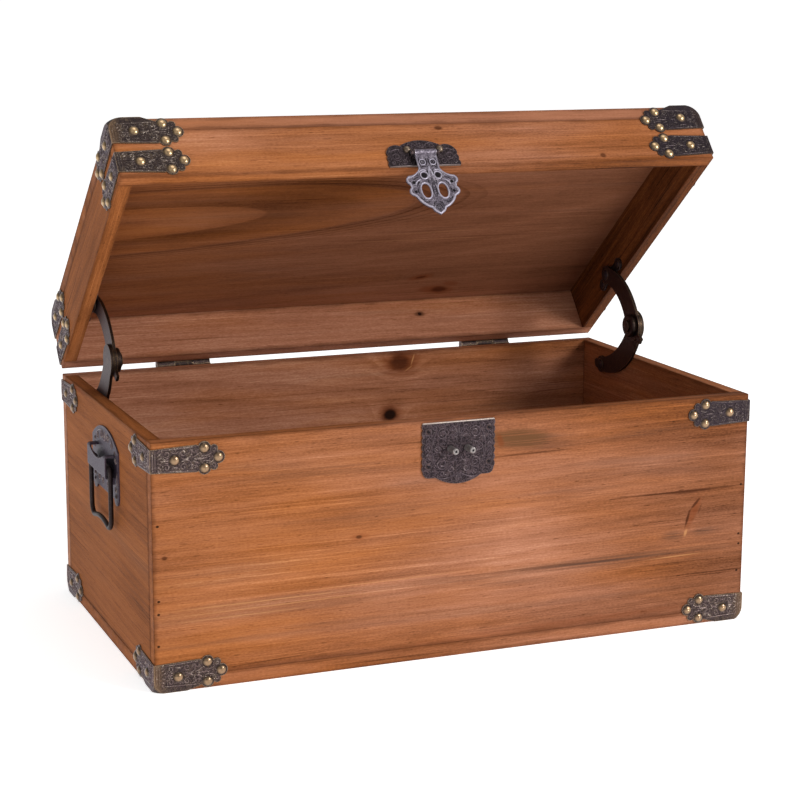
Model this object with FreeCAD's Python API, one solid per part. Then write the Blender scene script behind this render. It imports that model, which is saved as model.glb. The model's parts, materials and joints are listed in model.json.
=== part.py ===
import FreeCAD
import Part
import math
import os

# Small wooden sea chest with a lift-up lid. Lengths are millimetres and angles are degrees.
# The origin is the centre of the underside: +X to the right, +Y to the back, +Z up.
# The lid stands open on its stays. Its pieces are made shut and then turned about the hinge.

# Boards
chest_width = 410.0
chest_depth = 230.0
base_height = 156.0
lid_height = 43.0
lid_gap = 1.0
board = 9.0
eased_edge = 0.4
front_seam_height = 93.0
lid_open_angle = 40.28

# Corner brackets and the brass nails that hold them
sheet = 0.8
leg_corner_half_height = 7.2
leg_neck_half_height = 8.4
leg_neck_reach = 28.0
first_nail_reach = 14.5
pair_nail_reach = 33.0
pair_nail_offset = 6.2
tip_nail_reach = 41.7
scallop_reach = 39.0
scallop_offset = 5.4
scallop_radius = 2.5
nail_margin = 0.7
strap_center_below_rim = 11.3
strap_center_above_lid_edge = 10.8
cap_leg_center = 10.8
cap_leg_top = 18.2
cap_first_nail_height = 9.4
cap_tab_radius = 20.0
nail_head_radius = 3.35
nail_head_height = 1.7
nail_shank_width = 1.5
nail_shank_length = 5.8

# Butt hinges on the back
hinge_inset = 87.5
hinge_length = 39.0
hinge_leaf_height = 17.0
hinge_leaf_thickness = 1.2
hinge_barrel_radius = 2.9
hinge_axis_out = 3.4
hinge_pin_radius = 1.3
hinge_screw_inset = 8.0
hinge_screw_radius = 2.3
knuckle_gap = 0.4
running_fit = 0.06

# Hasp on the lid
latch_offset = -6.2
latch_sheet = 1.0
plate_scallop_bulge = 0.8
hasp_axis_out = 4.6
hasp_axis_above_edge = 8.6
hasp_barrel_radius = 2.1
hasp_pin_radius = 1.0
hasp_strap_width = 14.6
hasp_ear_length = 1.8
hasp_ear_radius = 1.7
hasp_lean = 3.2
hasp_neck_drop = 12.5
hasp_neck_hollow = 0.7
hasp_shoulder_reach = 14.3
hasp_shoulder_drop = 20.8
hasp_shoulder_radius = 3.4
hasp_hip_reach = 13.9
hasp_hip_drop = 28.9
hasp_hip_radius = 3.3
hasp_disc_drop = 27.5
hasp_disc_radius = 14.6
hasp_eye_drop = 28.7
hasp_eye_spacing = 11.6
hasp_eye_width = 5.8
hasp_eye_height = 10.2
hasp_tip_drop = 46.2
hasp_tip_length = 5.8
hasp_tip_radius = 4.8
hasp_plate_half_width = 24.3
hasp_plate_crown_half_width = 14.0
hasp_plate_shoulder_height = 16.4
hasp_plate_height = 20.5
hasp_plate_foot = 0.5
hasp_plate_sweep = 0.8
hasp_plate_wing_rise = 0.6
hasp_plate_wing_fall = 3.0
hasp_plate_scallops = 3
hasp_rivet_offset = 11.3
hasp_rivet_shift = 1.5
hasp_rivet_height = 13.2
hasp_rivet_radius = 2.6
hasp_rivet_dome = 2.4

# Strike plate on the front
strike_half_width = 24.3
strike_top_below_rim = 1.6
strike_height = 35.6
strike_lobe_half_width = 15.5
strike_lobe_drop = 4.8
strike_corner_radius = 4.0
strike_scallops = 7
strike_nail_side_inset = 3.5
strike_nail_top_inset = 5.8
strike_nail_foot_rise = 7.8
post_radius = 2.1
post_length = 10.5
post_depth = 6.0
post_round = 0.8
post_dimple_radius = 0.9
post_dimple_depth = 0.7
plate_nail_radius = 1.7
plate_nail_height = 0.7

# Folding stays inside the side walls
stay_sheet = 2.0
stay_gap = 0.4
stay_foot_from_back = 41.55
stay_foot_below_rim = 12.7
stay_crown_from_back = 73.7
stay_crown_above_lid_edge = 7.0
stay_lower_length = 62.4
stay_upper_length = 51.7
stay_lower_bow = 10.0
stay_upper_bow = 8.0
stay_lower_width = 16.5
stay_upper_width = 15.0
stay_foot_radius = 6.2
stay_toe_reach = 6.2
stay_toe_radius = 3.6
stay_elbow_radius = 10.8
stay_crown_radius = 6.8
stay_knob_radius = 8.2
stay_knob_height = 3.2
stay_knob_fillet = 1.4
stay_boss_radius = 4.4
stay_boss_height = 1.4
stay_rivet_radius = 1.6
stay_elbow_play = 3.6
stay_lug_reach = 16.2
stay_lug_width = 5.0
stay_stud_radius = 2.0
stay_stud_head_radius = 4.2
stay_stud_head_height = 1.6
stay_plate_sheet = 1.6
stay_plate_half_length = 14.2
stay_plate_half_height = 3.4
stay_plate_lobe_radius = 4.6
stay_plate_hub_radius = 6.0
stay_screw_radius = 2.6
stay_screw_height = 1.0

# Drop handles on the two ends
handle_shift = -7.0
handle_axis_below_rim = 34.0
handle_axis_out = 4.2
handle_sheet = 1.0
handle_plate_half_width = 33.0
handle_plate_shoulder = 11.0
handle_plate_crown = 21.4
handle_plate_foot = 20.5
handle_lobe_offset = 27.0
handle_lobe_drop = 18.0
handle_lobe_radius = 6.0
handle_nail_offset = 25.0
handle_nail_rise = 9.5
strap_length = 46.0
strap_half_height = 7.5
strap_scoop_half_width = 19.0
strap_scoop_floor = 2.6
strap_corner_radius = 1.8
strap_flange = 3.6
strap_clearance = 0.3
bail_wire_radius = 1.55
bail_half_width = 25.5
bail_drop = 40.0
bail_stub = 9.0
bail_shoulder_radius = 3.0
bail_corner_radius = 7.0
bail_wave_angle = 15.0

# Places worked out from the sizes above
half_width = chest_width / 2
half_depth = chest_depth / 2
inner_wall = half_width - board
lid_foot = base_height + lid_gap
lid_top = lid_foot + lid_height
hinge_spread = chest_width - 2 * hinge_inset
hinge_axis_y = half_depth + hinge_axis_out
hinge_axis_z = base_height + lid_gap / 2
hasp_axis_y = -half_depth - hasp_axis_out
hasp_axis_z = lid_foot + hasp_axis_above_edge
hasp_pin_length = hasp_strap_width + 2 * (knuckle_gap + hasp_ear_length)
post_height = hasp_axis_z - hasp_eye_drop
strike_top = base_height - strike_top_below_rim
lower_arm_level = stay_gap
upper_arm_level = lower_arm_level + stay_sheet + stay_gap
knob_level = upper_arm_level + stay_sheet + stay_gap
stay_stud_depth = board - nail_shank_length
handle_axis_height = base_height - handle_axis_below_rim
corner_ball_radius = board * math.sqrt(2)
corner_ball_shell_radius = (board + sheet) * math.sqrt(2)

SIDES = {"left": -1, "right": 1}
ENDS = {"front": -1, "back": 1}
ORIGIN = FreeCAD.Vector(0, 0, 0)
X_AXIS = FreeCAD.Vector(1, 0, 0)
Y_AXIS = FreeCAD.Vector(0, 1, 0)
Z_AXIS = FreeCAD.Vector(0, 0, 1)
FORWARD = FreeCAD.Vector(0, -1, 0)


def vec(x, y, z):
    return FreeCAD.Vector(x, y, z)


def block(low, high):
    """A box between two opposite corners."""
    return Part.makeBox(high[0] - low[0], high[1] - low[1], high[2] - low[2], vec(*low))


def plank(low, high):
    """A board with its edges eased."""
    box = block(low, high)
    return box.makeChamfer(eased_edge, box.Edges)


def merge(shapes):
    """One clean solid from pieces that overlap."""
    return shapes[0].fuse(shapes[1:]).removeSplitter()


def prism(edges, along):
    """A closed outline pushed along a vector."""
    return Part.Face(Part.Wire(Part.__sortEdges__(edges))).extrude(along)


def outline_of(points):
    """Straight edges round a closed outline."""
    return [Part.makeLine(a, b) for a, b in zip(points, points[1:] + points[:1])]


def arc(start, middle, end):
    return Part.Arc(start, middle, end).toShape()


def scalloped(start, end, count, bulge):
    """Small arcs in a row, each bulging by a vector."""
    marks = [start + (end - start) * (i / count) for i in range(count + 1)]
    return [arc(a, (a + b) * 0.5 + bulge, b) for a, b in zip(marks, marks[1:])]


def mirrored(shape, normal):
    return shape.mirror(ORIGIN, normal)


def opened_point(point):
    """A point of the shut lid, carried to where the open lid has it."""
    pivot = vec(0, hinge_axis_y, hinge_axis_z)
    return pivot + FreeCAD.Rotation(X_AXIS, -lid_open_angle).multVec(point - pivot)


def opened(shape):
    """A lid piece turned from shut to open about the hinge."""
    turned = shape.copy()
    turned.rotate(vec(0, hinge_axis_y, hinge_axis_z), X_AXIS, -lid_open_angle)
    return turned


def placed(shape, point, outward):
    """A fastener made on the XY plane, set at a point with its head facing outward."""
    copy = shape.copy()
    copy.Placement = FreeCAD.Placement(point, FreeCAD.Rotation(Z_AXIS, outward))
    return copy


def dome(radius, height):
    """A spherical cap that stands on the XY plane."""
    ball = (radius ** 2 + height ** 2) / (2 * height)
    sphere = Part.makeSphere(ball, vec(0, 0, height - ball))
    return sphere.common(Part.makeCylinder(2 * radius, 2 * height))


def domed_nail(radius, height):
    """A domed head on a square shank that tapers to a point."""
    half = nail_shank_width / 2
    square = [vec(x * half, y * half, 0) for x, y in ((1, 1), (-1, 1), (-1, -1), (1, -1))]
    point = vec(0, 0, -nail_shank_length)
    rim = square + square[:1]
    faces = [Part.Face(Part.makePolygon([a, b, point, a])) for a, b in zip(rim, rim[1:])]
    faces.append(Part.Face(Part.makePolygon(rim)))
    shank = Part.makeSolid(Part.makeShell(faces))
    return merge([dome(radius, height), shank])


# Wooden boards

def corner_ball_trim(vertex, inward, radius):
    """What rounds off an outer corner of the box, down to a ball centred one board inside it."""
    center = vertex + inward * board
    outside = vertex - inward * sheet
    low = [min(pair) for pair in zip(outside, center)]
    high = [max(pair) for pair in zip(outside, center)]
    return block(low, high).cut(Part.makeSphere(radius, center))


def outer_corners(z, up):
    """The four outer corners at one height, each with the direction into the box."""
    return [(vec(side * half_width, end * half_depth, z), vec(-side, -end, up))
            for side in SIDES.values() for end in ENDS.values()]


def bottom_panel():
    """The floor of the chest, with its corners rounded and let in for the corner tabs."""
    panel = plank((-half_width, -half_depth, 0), (half_width, half_depth, board))
    for vertex, inward in outer_corners(0, 1):
        panel = panel.cut(corner_ball_trim(vertex, inward, corner_ball_radius))
        panel = panel.cut(Part.makeCylinder(cap_tab_radius, sheet, vertex))
    return panel


def lid_top_panel():
    panel = plank((-half_width, -half_depth, lid_top - board), (half_width, half_depth, lid_top))
    for vertex, inward in outer_corners(lid_top, -1):
        panel = panel.cut(corner_ball_trim(vertex, inward, corner_ball_radius))
    return panel


def frame_boards(z_low, z_high):
    """Front and back boards that cover the ends of the two side boards."""
    inner_depth = half_depth - board
    return {
        "front": plank((-half_width, -half_depth, z_low), (half_width, -inner_depth, z_high)),
        "back": plank((-half_width, inner_depth, z_low), (half_width, half_depth, z_high)),
        "left": plank((-half_width, -inner_depth, z_low), (-inner_wall, inner_depth, z_high)),
        "right": plank((inner_wall, -inner_depth, z_low), (half_width, inner_depth, z_high)),
    }


def base_boards():
    """The walls and floor of the chest. Two boards glued edge to edge make the front."""
    walls = frame_boards(board, base_height)
    above_seam = block((-half_width, -half_depth, front_seam_height), (half_width, half_depth, base_height))
    return {
        "bottom_panel": bottom_panel(),
        "front_lower_board": walls["front"].cut(above_seam),
        "front_upper_board": walls["front"].common(above_seam),
        "back_panel": walls["back"],
        "left_panel": walls["left"],
        "right_panel": walls["right"],
    }


def lid_boards():
    rails = frame_boards(lid_foot, lid_top - board)
    boards = {"lid_" + name + "_rail": rail for name, rail in rails.items()}
    boards["lid_top_panel"] = lid_top_panel()
    return boards


# Corner brackets: each is made at the origin with legs along +X and +Y, then set at its corner

def leg(lower_edge, upper_edge, center):
    """A leg along +X on the plane y = 0: two edges as reach and height, and a scalloped end."""
    lobe = nail_head_radius + nail_margin
    tip = [(pair_nail_reach, center - pair_nail_offset), (scallop_reach, center - scallop_offset),
           (scallop_reach, center + scallop_offset), (pair_nail_reach, center + pair_nail_offset)]
    points = [vec(x, -sheet, z) for x, z in lower_edge + tip + upper_edge]
    pieces = [prism(outline_of(points), vec(0, sheet, 0))]
    discs = [(tip_nail_reach, 0, lobe)]
    for sign in (-1, 1):
        discs.append((pair_nail_reach, sign * pair_nail_offset, lobe))
        discs.append((scallop_reach, sign * scallop_offset, scallop_radius))
    for x, z, radius in discs:
        pieces.append(Part.makeCylinder(radius, sheet, vec(x, -sheet, center + z), Y_AXIS))
    return merge(pieces)


def wrapped(front_leg):
    """A leg on the front face joined to its twin on the side face."""
    return merge([front_leg, mirrored(front_leg, vec(1, -1, 0))])


def strap_bracket():
    """Two legs round an upright edge, with their centre line on z = 0."""
    lower_edge = [(-sheet, -leg_corner_half_height), (leg_neck_reach, -leg_neck_half_height)]
    upper_edge = [(leg_neck_reach, leg_neck_half_height), (-sheet, leg_corner_half_height)]
    return wrapped(leg(lower_edge, upper_edge, 0))


def cap_bracket(tab_proud):
    """Two legs and a rounded tab round a corner; the tab's outer face is at z = -tab_proud."""
    lower_edge = [(-sheet, -tab_proud), (cap_tab_radius, -tab_proud),
                  (leg_neck_reach, cap_leg_center - leg_neck_half_height)]
    upper_edge = [(leg_neck_reach, cap_leg_center + leg_neck_half_height), (-sheet, cap_leg_top)]
    tab = Part.makeCylinder(cap_tab_radius, sheet, vec(0, 0, -tab_proud), Z_AXIS, 90)
    ball_center = vec(board, board, board)
    outer = block((-sheet, -sheet, -tab_proud), ball_center)
    outer = outer.common(Part.makeSphere(corner_ball_shell_radius, ball_center))
    wood = block((0, 0, sheet - tab_proud), ball_center)
    wood = wood.common(Part.makeSphere(corner_ball_radius, ball_center))
    whole = merge([wrapped(leg(lower_edge, upper_edge, cap_leg_center)), tab, outer.cut(wood)])
    return whole.cut(corner_ball_trim(ORIGIN, vec(1, 1, 1), corner_ball_shell_radius))


def bracket_nails(center, first_height):
    """The nails of both legs of a bracket at the origin."""
    nail = domed_nail(nail_head_radius, nail_head_height)
    spots = [(first_nail_reach, first_height), (pair_nail_reach, center - pair_nail_offset),
             (pair_nail_reach, center + pair_nail_offset), (tip_nail_reach, center)]
    nails = []
    for reach, z in spots:
        nails.append(placed(nail, vec(reach, -sheet, z), FORWARD))
        nails.append(placed(nail, vec(-sheet, reach, z), vec(-1, 0, 0)))
    return nails


def at_corner(shape, side, end, z, upside_down):
    """A bracket or nail moved from the origin to one corner of the chest."""
    copy = shape.copy()
    if side > 0:
        copy = mirrored(copy, X_AXIS)
    if end > 0:
        copy = mirrored(copy, Y_AXIS)
    if upside_down:
        copy = mirrored(copy, Z_AXIS)
    copy.translate(vec(side * half_width, end * half_depth, z))
    return copy


def corner_set(prefix, bracket, nails, z, upside_down=False):
    """Four like brackets by name, and all of their nails."""
    brackets = {}
    all_nails = []
    for end_name, end in ENDS.items():
        for side_name, side in SIDES.items():
            name = "_".join([prefix, end_name, side_name])
            brackets[name] = at_corner(bracket, side, end, z, upside_down)
            all_nails += [at_corner(nail, side, end, z, upside_down) for nail in nails]
    return brackets, all_nails


# Butt hinges

def hinge_leaf(side, on_lid):
    """A leaf on the back face. The lid's leaf has the middle knuckle and the base's the outer two."""
    center = side * hinge_spread / 2
    marks = [center + share * hinge_length for share in (-1 / 2, -1 / 6, 1 / 6, 1 / 2)]
    outer = [(marks[0], marks[1]), (marks[2], marks[3])]
    middle = [(marks[1], marks[2])]
    own, other = (middle, outer) if on_lid else (outer, middle)
    reach = hinge_leaf_height if on_lid else -hinge_leaf_height
    z_low, z_high = sorted((hinge_axis_z, hinge_axis_z + reach))
    back = half_depth + hinge_leaf_thickness
    room = hinge_barrel_radius + knuckle_gap
    leaf = block((marks[0], half_depth, z_low), (marks[3], back, z_high))
    for start, stop in other:
        leaf = leaf.cut(block((start - knuckle_gap / 2, half_depth, hinge_axis_z - room),
                              (stop + knuckle_gap / 2, back, hinge_axis_z + room)))
    bore_radius = hinge_pin_radius + (running_fit if on_lid else 0)
    knuckles = []
    for start, stop in own:
        foot = vec(start + knuckle_gap / 2, hinge_axis_y, hinge_axis_z)
        knuckles.append(Part.makeCylinder(hinge_barrel_radius, stop - start - knuckle_gap, foot, X_AXIS))
    bore_foot = vec(marks[0], hinge_axis_y, hinge_axis_z)
    return merge([leaf] + knuckles).cut(Part.makeCylinder(bore_radius, hinge_length, bore_foot, X_AXIS))


def hinge_pins():
    pins = []
    for side in SIDES.values():
        foot = vec(side * hinge_spread / 2 - hinge_length / 2, hinge_axis_y, hinge_axis_z)
        pins.append(Part.makeCylinder(hinge_pin_radius, hinge_length, foot, X_AXIS))
    return pins


def hinge_screws(up):
    """Two screws in each leaf that points up or down from the hinge line."""
    screw = domed_nail(hinge_screw_radius, plate_nail_height)
    z = hinge_axis_z + up * (hinge_leaf_height + hinge_barrel_radius) / 2
    y = half_depth + hinge_leaf_thickness
    reach = hinge_length / 2 - hinge_screw_inset
    return [placed(screw, vec(side * hinge_spread / 2 + spot * reach, y, z), Y_AXIS)
            for side in SIDES.values() for spot in (-1, 1)]


# Hasp and strike plate, drawn on the front face: x from the latch's centre line, and height

def front_point(x, z):
    return vec(latch_offset + x, -half_depth, z)


def hasp_plate():
    """An arched plate with scalloped ends, and two ears that carry the hasp's pin."""
    foot = lid_foot + hasp_plate_foot
    shoulder = lid_foot + hasp_plate_shoulder_height
    wide = hasp_plate_half_width
    wing = wide - hasp_plate_sweep
    wing_top = shoulder + hasp_plate_wing_rise
    crown_half = hasp_plate_crown_half_width
    edges = [Part.makeLine(front_point(-wide, foot), front_point(wide, foot)),
             arc(front_point(-crown_half, shoulder), front_point(0, lid_foot + hasp_plate_height),
                 front_point(crown_half, shoulder))]
    ears = []
    for sign in (-1, 1):
        wing_end = front_point(sign * wing, shoulder - hasp_plate_wing_fall)
        edges.append(arc(front_point(sign * crown_half, shoulder),
                         front_point(sign * (crown_half + wing) / 2, wing_top), wing_end))
        edges += scalloped(wing_end, front_point(sign * wide, foot), hasp_plate_scallops,
                           X_AXIS * (sign * plate_scallop_bulge))
        ear_middle = latch_offset + sign * (hasp_pin_length - hasp_ear_length) / 2
        start = ear_middle - hasp_ear_length / 2
        ear_foot = vec(start, hasp_axis_y, hasp_axis_z)
        ears.append(Part.makeCylinder(hasp_ear_radius, hasp_ear_length, ear_foot, X_AXIS))
        ears.append(block((start, hasp_axis_y, hasp_axis_z - hasp_ear_radius),
                          (start + hasp_ear_length, -half_depth, hasp_axis_z + hasp_ear_radius)))
    plate = prism(edges, vec(0, -latch_sheet, 0))
    return merge([plate] + ears).cut(hasp_pin())


def hasp_pin():
    start = vec(latch_offset - hasp_pin_length / 2, hasp_axis_y, hasp_axis_z)
    return Part.makeCylinder(hasp_pin_radius, hasp_pin_length, start, X_AXIS)


def hasp_rivets():
    rivet = domed_nail(hasp_rivet_radius, hasp_rivet_dome)
    rise = lid_foot + hasp_rivet_height
    spots = [front_point(hasp_rivet_shift + sign * hasp_rivet_offset, rise) for sign in (-1, 1)]
    return [placed(rivet, spot + FORWARD * latch_sheet, FORWARD) for spot in spots]


def hasp_point(x, drop):
    """A point on the front of the hasp's leaf, which hangs in line with its pin."""
    return vec(latch_offset + x, hasp_axis_y - latch_sheet / 2, hasp_axis_z - drop)


def hasp_strap():
    """The upper part of the hasp, which sweeps out to its shoulders."""
    half = hasp_strap_width / 2
    reach = hasp_shoulder_reach
    shoulder_top = hasp_shoulder_drop - hasp_shoulder_radius
    bend_x = (half + reach) / 2 - hasp_neck_hollow
    bend_drop = (hasp_neck_drop + shoulder_top) / 2 + hasp_neck_hollow
    edges = [Part.makeLine(hasp_point(-half, 0), hasp_point(half, 0)),
             Part.makeLine(hasp_point(-reach, hasp_shoulder_drop), hasp_point(reach, hasp_shoulder_drop))]
    for sign in (-1, 1):
        neck = hasp_point(sign * half, hasp_neck_drop)
        shoulder = hasp_point(sign * reach, shoulder_top)
        edges.append(Part.makeLine(hasp_point(sign * half, 0), neck))
        edges.append(arc(neck, hasp_point(sign * bend_x, bend_drop), shoulder))
        edges.append(Part.makeLine(shoulder, hasp_point(sign * reach, hasp_shoulder_drop)))
    return prism(edges, vec(0, latch_sheet, 0))


def hasp_eye(sign):
    """An upright hole with round ends."""
    radius = hasp_eye_width / 2
    rise = hasp_eye_height / 2 - radius
    center = hasp_point(sign * hasp_eye_spacing / 2, hasp_eye_drop)
    edges = []
    for up in (-1, 1):
        end = center + vec(0, 0, up * rise)
        edges.append(arc(end - vec(radius, 0, 0), end + vec(0, 0, up * radius), end + vec(radius, 0, 0)))
        edges.append(Part.makeLine(center + vec(up * radius, 0, -rise), center + vec(up * radius, 0, rise)))
    return prism(edges, vec(0, latch_sheet, 0))


def hasp():
    """The drop hasp: a leaf rolled round its pin, with scalloped sides, two eyes and a pointed tip."""
    tip_x = hasp_tip_radius * math.sqrt(0.5)
    tip_middle = hasp_tip_drop - hasp_tip_length
    discs = [(0, hasp_disc_drop, hasp_disc_radius), (0, tip_middle, hasp_tip_radius)]
    for sign in (-1, 1):
        discs.append((sign * hasp_shoulder_reach, hasp_shoulder_drop, hasp_shoulder_radius))
        discs.append((sign * hasp_hip_reach, hasp_hip_drop, hasp_hip_radius))
    drip = [hasp_point(-tip_x, tip_middle + tip_x), hasp_point(tip_x, tip_middle + tip_x),
            hasp_point(0, hasp_tip_drop)]
    start = vec(latch_offset - hasp_strap_width / 2, hasp_axis_y, hasp_axis_z)
    pieces = [hasp_strap(), prism(outline_of(drip), vec(0, latch_sheet, 0))]
    for x, drop, radius in discs:
        pieces.append(Part.makeCylinder(radius, latch_sheet, hasp_point(x, drop), Y_AXIS))
    pieces.append(Part.makeCylinder(hasp_barrel_radius, hasp_strap_width, start, X_AXIS))
    bore = Part.makeCylinder(hasp_pin_radius + running_fit, hasp_strap_width, start, X_AXIS)
    whole = merge(pieces).cut([bore, hasp_eye(-1), hasp_eye(1)])
    whole.rotate(vec(0, hasp_axis_y, hasp_axis_z), X_AXIS, hasp_lean)
    return whole


def strike_plate():
    """A plate with scalloped sides, rounded lower corners and a wide lobe between them."""
    low = strike_top - strike_height
    radius = strike_corner_radius
    bend = radius * (1 - math.sqrt(0.5))
    x = strike_half_width
    edges = [Part.makeLine(front_point(-x, strike_top), front_point(x, strike_top)),
             arc(front_point(-strike_lobe_half_width, low), front_point(0, low - strike_lobe_drop),
                 front_point(strike_lobe_half_width, low))]
    for sign in (-1, 1):
        side_end = front_point(sign * x, low + radius)
        foot_end = front_point(sign * (x - radius), low)
        edges += scalloped(front_point(sign * x, strike_top), side_end, strike_scallops,
                           X_AXIS * (sign * plate_scallop_bulge))
        edges.append(arc(side_end, front_point(sign * (x - bend), low + bend), foot_end))
        edges.append(Part.makeLine(foot_end, front_point(sign * strike_lobe_half_width, low)))
    return prism(edges, vec(0, -latch_sheet, 0))


def strike_posts():
    """Two posts that pass through the eyes of the hasp, each with a rounded rim and a dimple in its end."""
    posts = []
    for sign in (-1, 1):
        tip = front_point(sign * hasp_eye_spacing / 2, post_height) + FORWARD * post_length
        root = tip - FORWARD * (post_length + post_depth)
        shaft = Part.makeCylinder(post_radius, post_length + post_depth, root, FORWARD)
        rim = [edge for edge in shaft.Edges if edge.CenterOfMass.distanceToPoint(tip) < post_round]
        dimple = Part.makeCone(post_dimple_radius, 0, post_dimple_depth, tip, FORWARD * -1)
        posts.append(shaft.makeFillet(post_round, rim).cut(dimple))
    return posts


def strike_nails():
    nail = domed_nail(plate_nail_radius, plate_nail_height)
    reach = strike_half_width - strike_nail_side_inset
    upper = strike_top - strike_nail_top_inset
    lower = strike_top - strike_height + strike_nail_foot_rise
    return [placed(nail, front_point(sign * reach, z) + FORWARD * latch_sheet, FORWARD)
            for sign in (-1, 1) for z in (upper, lower)]


# Lid stays: the left one is made, and the right one is its mirror image

def wall_point(y, z, level=0.0):
    """A point on the left wall's inner face, or some way in from it."""
    return vec(-inner_wall + level, y, z)


stay_foot = wall_point(half_depth - stay_foot_from_back, base_height - stay_foot_below_rim)
stay_crown_shut = wall_point(half_depth - stay_crown_from_back, lid_foot + stay_crown_above_lid_edge)
stay_crown = opened_point(stay_crown_shut)


def stay_elbow():
    """Where the two arms of the open stay meet, in front of the line from foot to crown."""
    line = stay_crown - stay_foot
    span = line.Length
    along = (stay_lower_length ** 2 - stay_upper_length ** 2 + span ** 2) / (2 * span)
    ahead = math.sqrt(stay_lower_length ** 2 - along ** 2)
    line.normalize()
    return stay_foot + line * along + X_AXIS.cross(line) * ahead


def bowed_bar(start, end, start_radius, end_radius, bow, width, level):
    """A flat bar between two eyes that bows forward."""
    chord = end - start
    middle = start + chord * 0.5
    chord.normalize()
    ahead = X_AXIS.cross(chord)
    lift = vec(level, 0, 0)
    sides = []
    for sign in (-1, 1):
        sides.append([start + ahead * (sign * start_radius) + lift,
                      middle + ahead * (bow + sign * width / 2) + lift,
                      end + ahead * (sign * end_radius) + lift])
    edges = [arc(*side) for side in sides]
    edges.append(Part.makeLine(sides[0][0], sides[1][0]))
    edges.append(Part.makeLine(sides[0][2], sides[1][2]))
    pieces = [prism(edges, vec(stay_sheet, 0, 0))]
    for point, radius in ((start, start_radius), (end, end_radius)):
        pieces.append(Part.makeCylinder(radius, stay_sheet, point + lift, X_AXIS))
    return pieces


def pivot_hole(point, radius, level):
    return Part.makeCylinder(radius, stay_sheet, point + vec(level, 0, 0), X_AXIS)


def stay_lower_arm():
    """The arm from the foot to the elbow, with a toe behind its foot."""
    pieces = bowed_bar(stay_foot, stay_elbow(), stay_foot_radius, stay_elbow_radius, stay_lower_bow,
                       stay_lower_width, lower_arm_level)
    toe = stay_foot + vec(lower_arm_level, stay_toe_reach, 0)
    pieces.append(Part.makeCylinder(stay_toe_radius, stay_sheet, toe, X_AXIS))
    holes = [pivot_hole(stay_foot, stay_stud_radius + running_fit, lower_arm_level),
             pivot_hole(stay_elbow(), stay_rivet_radius, lower_arm_level)]
    return merge(pieces).cut(holes)


def stay_upper_arm():
    """The arm from the elbow to the lid, with room round the elbow's rivet and a lug past the elbow."""
    elbow = stay_elbow()
    pieces = bowed_bar(elbow, stay_crown, stay_elbow_radius, stay_crown_radius, stay_upper_bow,
                       stay_upper_width, upper_arm_level)
    past = elbow - stay_crown
    past.normalize()
    aside = X_AXIS.cross(past) * (stay_lug_width / 2)
    root = elbow + vec(upper_arm_level, 0, 0)
    tip = root + past * stay_lug_reach
    corners = [root + aside, tip + aside, tip - aside, root - aside]
    pieces.append(prism(outline_of(corners), vec(stay_sheet, 0, 0)))
    holes = [pivot_hole(elbow, stay_rivet_radius + stay_elbow_play, upper_arm_level),
             pivot_hole(stay_crown, stay_stud_radius + running_fit, upper_arm_level)]
    return merge(pieces).cut(holes)


def stay_knob():
    """The elbow's round knob with its rivet, riveted into the lower arm."""
    rivet = Part.makeCylinder(stay_rivet_radius, knob_level - lower_arm_level, vec(0, 0, lower_arm_level))
    disc = Part.makeCylinder(stay_knob_radius, stay_knob_height, vec(0, 0, knob_level))
    boss = Part.makeCylinder(stay_boss_radius, stay_knob_height + stay_boss_height, vec(0, 0, knob_level))
    whole = merge([rivet, disc, boss])
    rim_height = knob_level + stay_knob_height
    rim = [edge for edge in whole.Edges if abs(edge.BoundBox.ZMin - rim_height) < running_fit
           and abs(edge.BoundBox.XLength - 2 * stay_knob_radius) < running_fit]
    return placed(whole.makeFillet(stay_knob_fillet, rim), stay_elbow(), X_AXIS)


def stay_stud(level, collar):
    """A stud in the wood: its head keeps an arm on, and a collar spaces the arm off its plate."""
    head_level = level + stay_sheet + stay_gap
    length = stay_stud_depth + head_level
    pieces = [Part.makeCylinder(stay_stud_radius, length, vec(0, 0, -stay_stud_depth))]
    head = dome(stay_stud_head_radius, stay_stud_head_height)
    head.translate(vec(0, 0, head_level))
    pieces.append(head)
    if collar:
        pieces.append(Part.makeCylinder(stay_stud_head_radius, level - stay_plate_sheet - stay_gap / 2,
                                        vec(0, 0, stay_plate_sheet)))
    return merge(pieces)


def stay_plate():
    """The plate on the shut lid's side rail: a bar with a hub and two round ends."""
    def disc(shift, radius):
        return Part.makeCylinder(radius, stay_plate_sheet, stay_crown_shut + vec(0, shift, 0), X_AXIS)

    low = stay_crown_shut - vec(0, stay_plate_half_length, stay_plate_half_height)
    high = stay_crown_shut + vec(stay_plate_sheet, stay_plate_half_length, stay_plate_half_height)
    ends = [disc(sign * stay_plate_half_length, stay_plate_lobe_radius) for sign in (-1, 1)]
    whole = merge([block(low, high), disc(0, stay_plate_hub_radius)] + ends)
    return whole.cut(disc(0, stay_stud_radius))


def stay_plate_screws():
    screw = domed_nail(stay_screw_radius, stay_screw_height)
    return [placed(screw, stay_crown_shut + vec(stay_plate_sheet, sign * stay_plate_half_length, 0), X_AXIS)
            for sign in (-1, 1)]


# Drop handles: the left one is made, and the right one is its mirror image

def end_point(out, y, z):
    """A point beside the left end of the chest, from the bail's axis and out from the wood."""
    return vec(-half_width - out, handle_shift + y, handle_axis_height + z)


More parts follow.
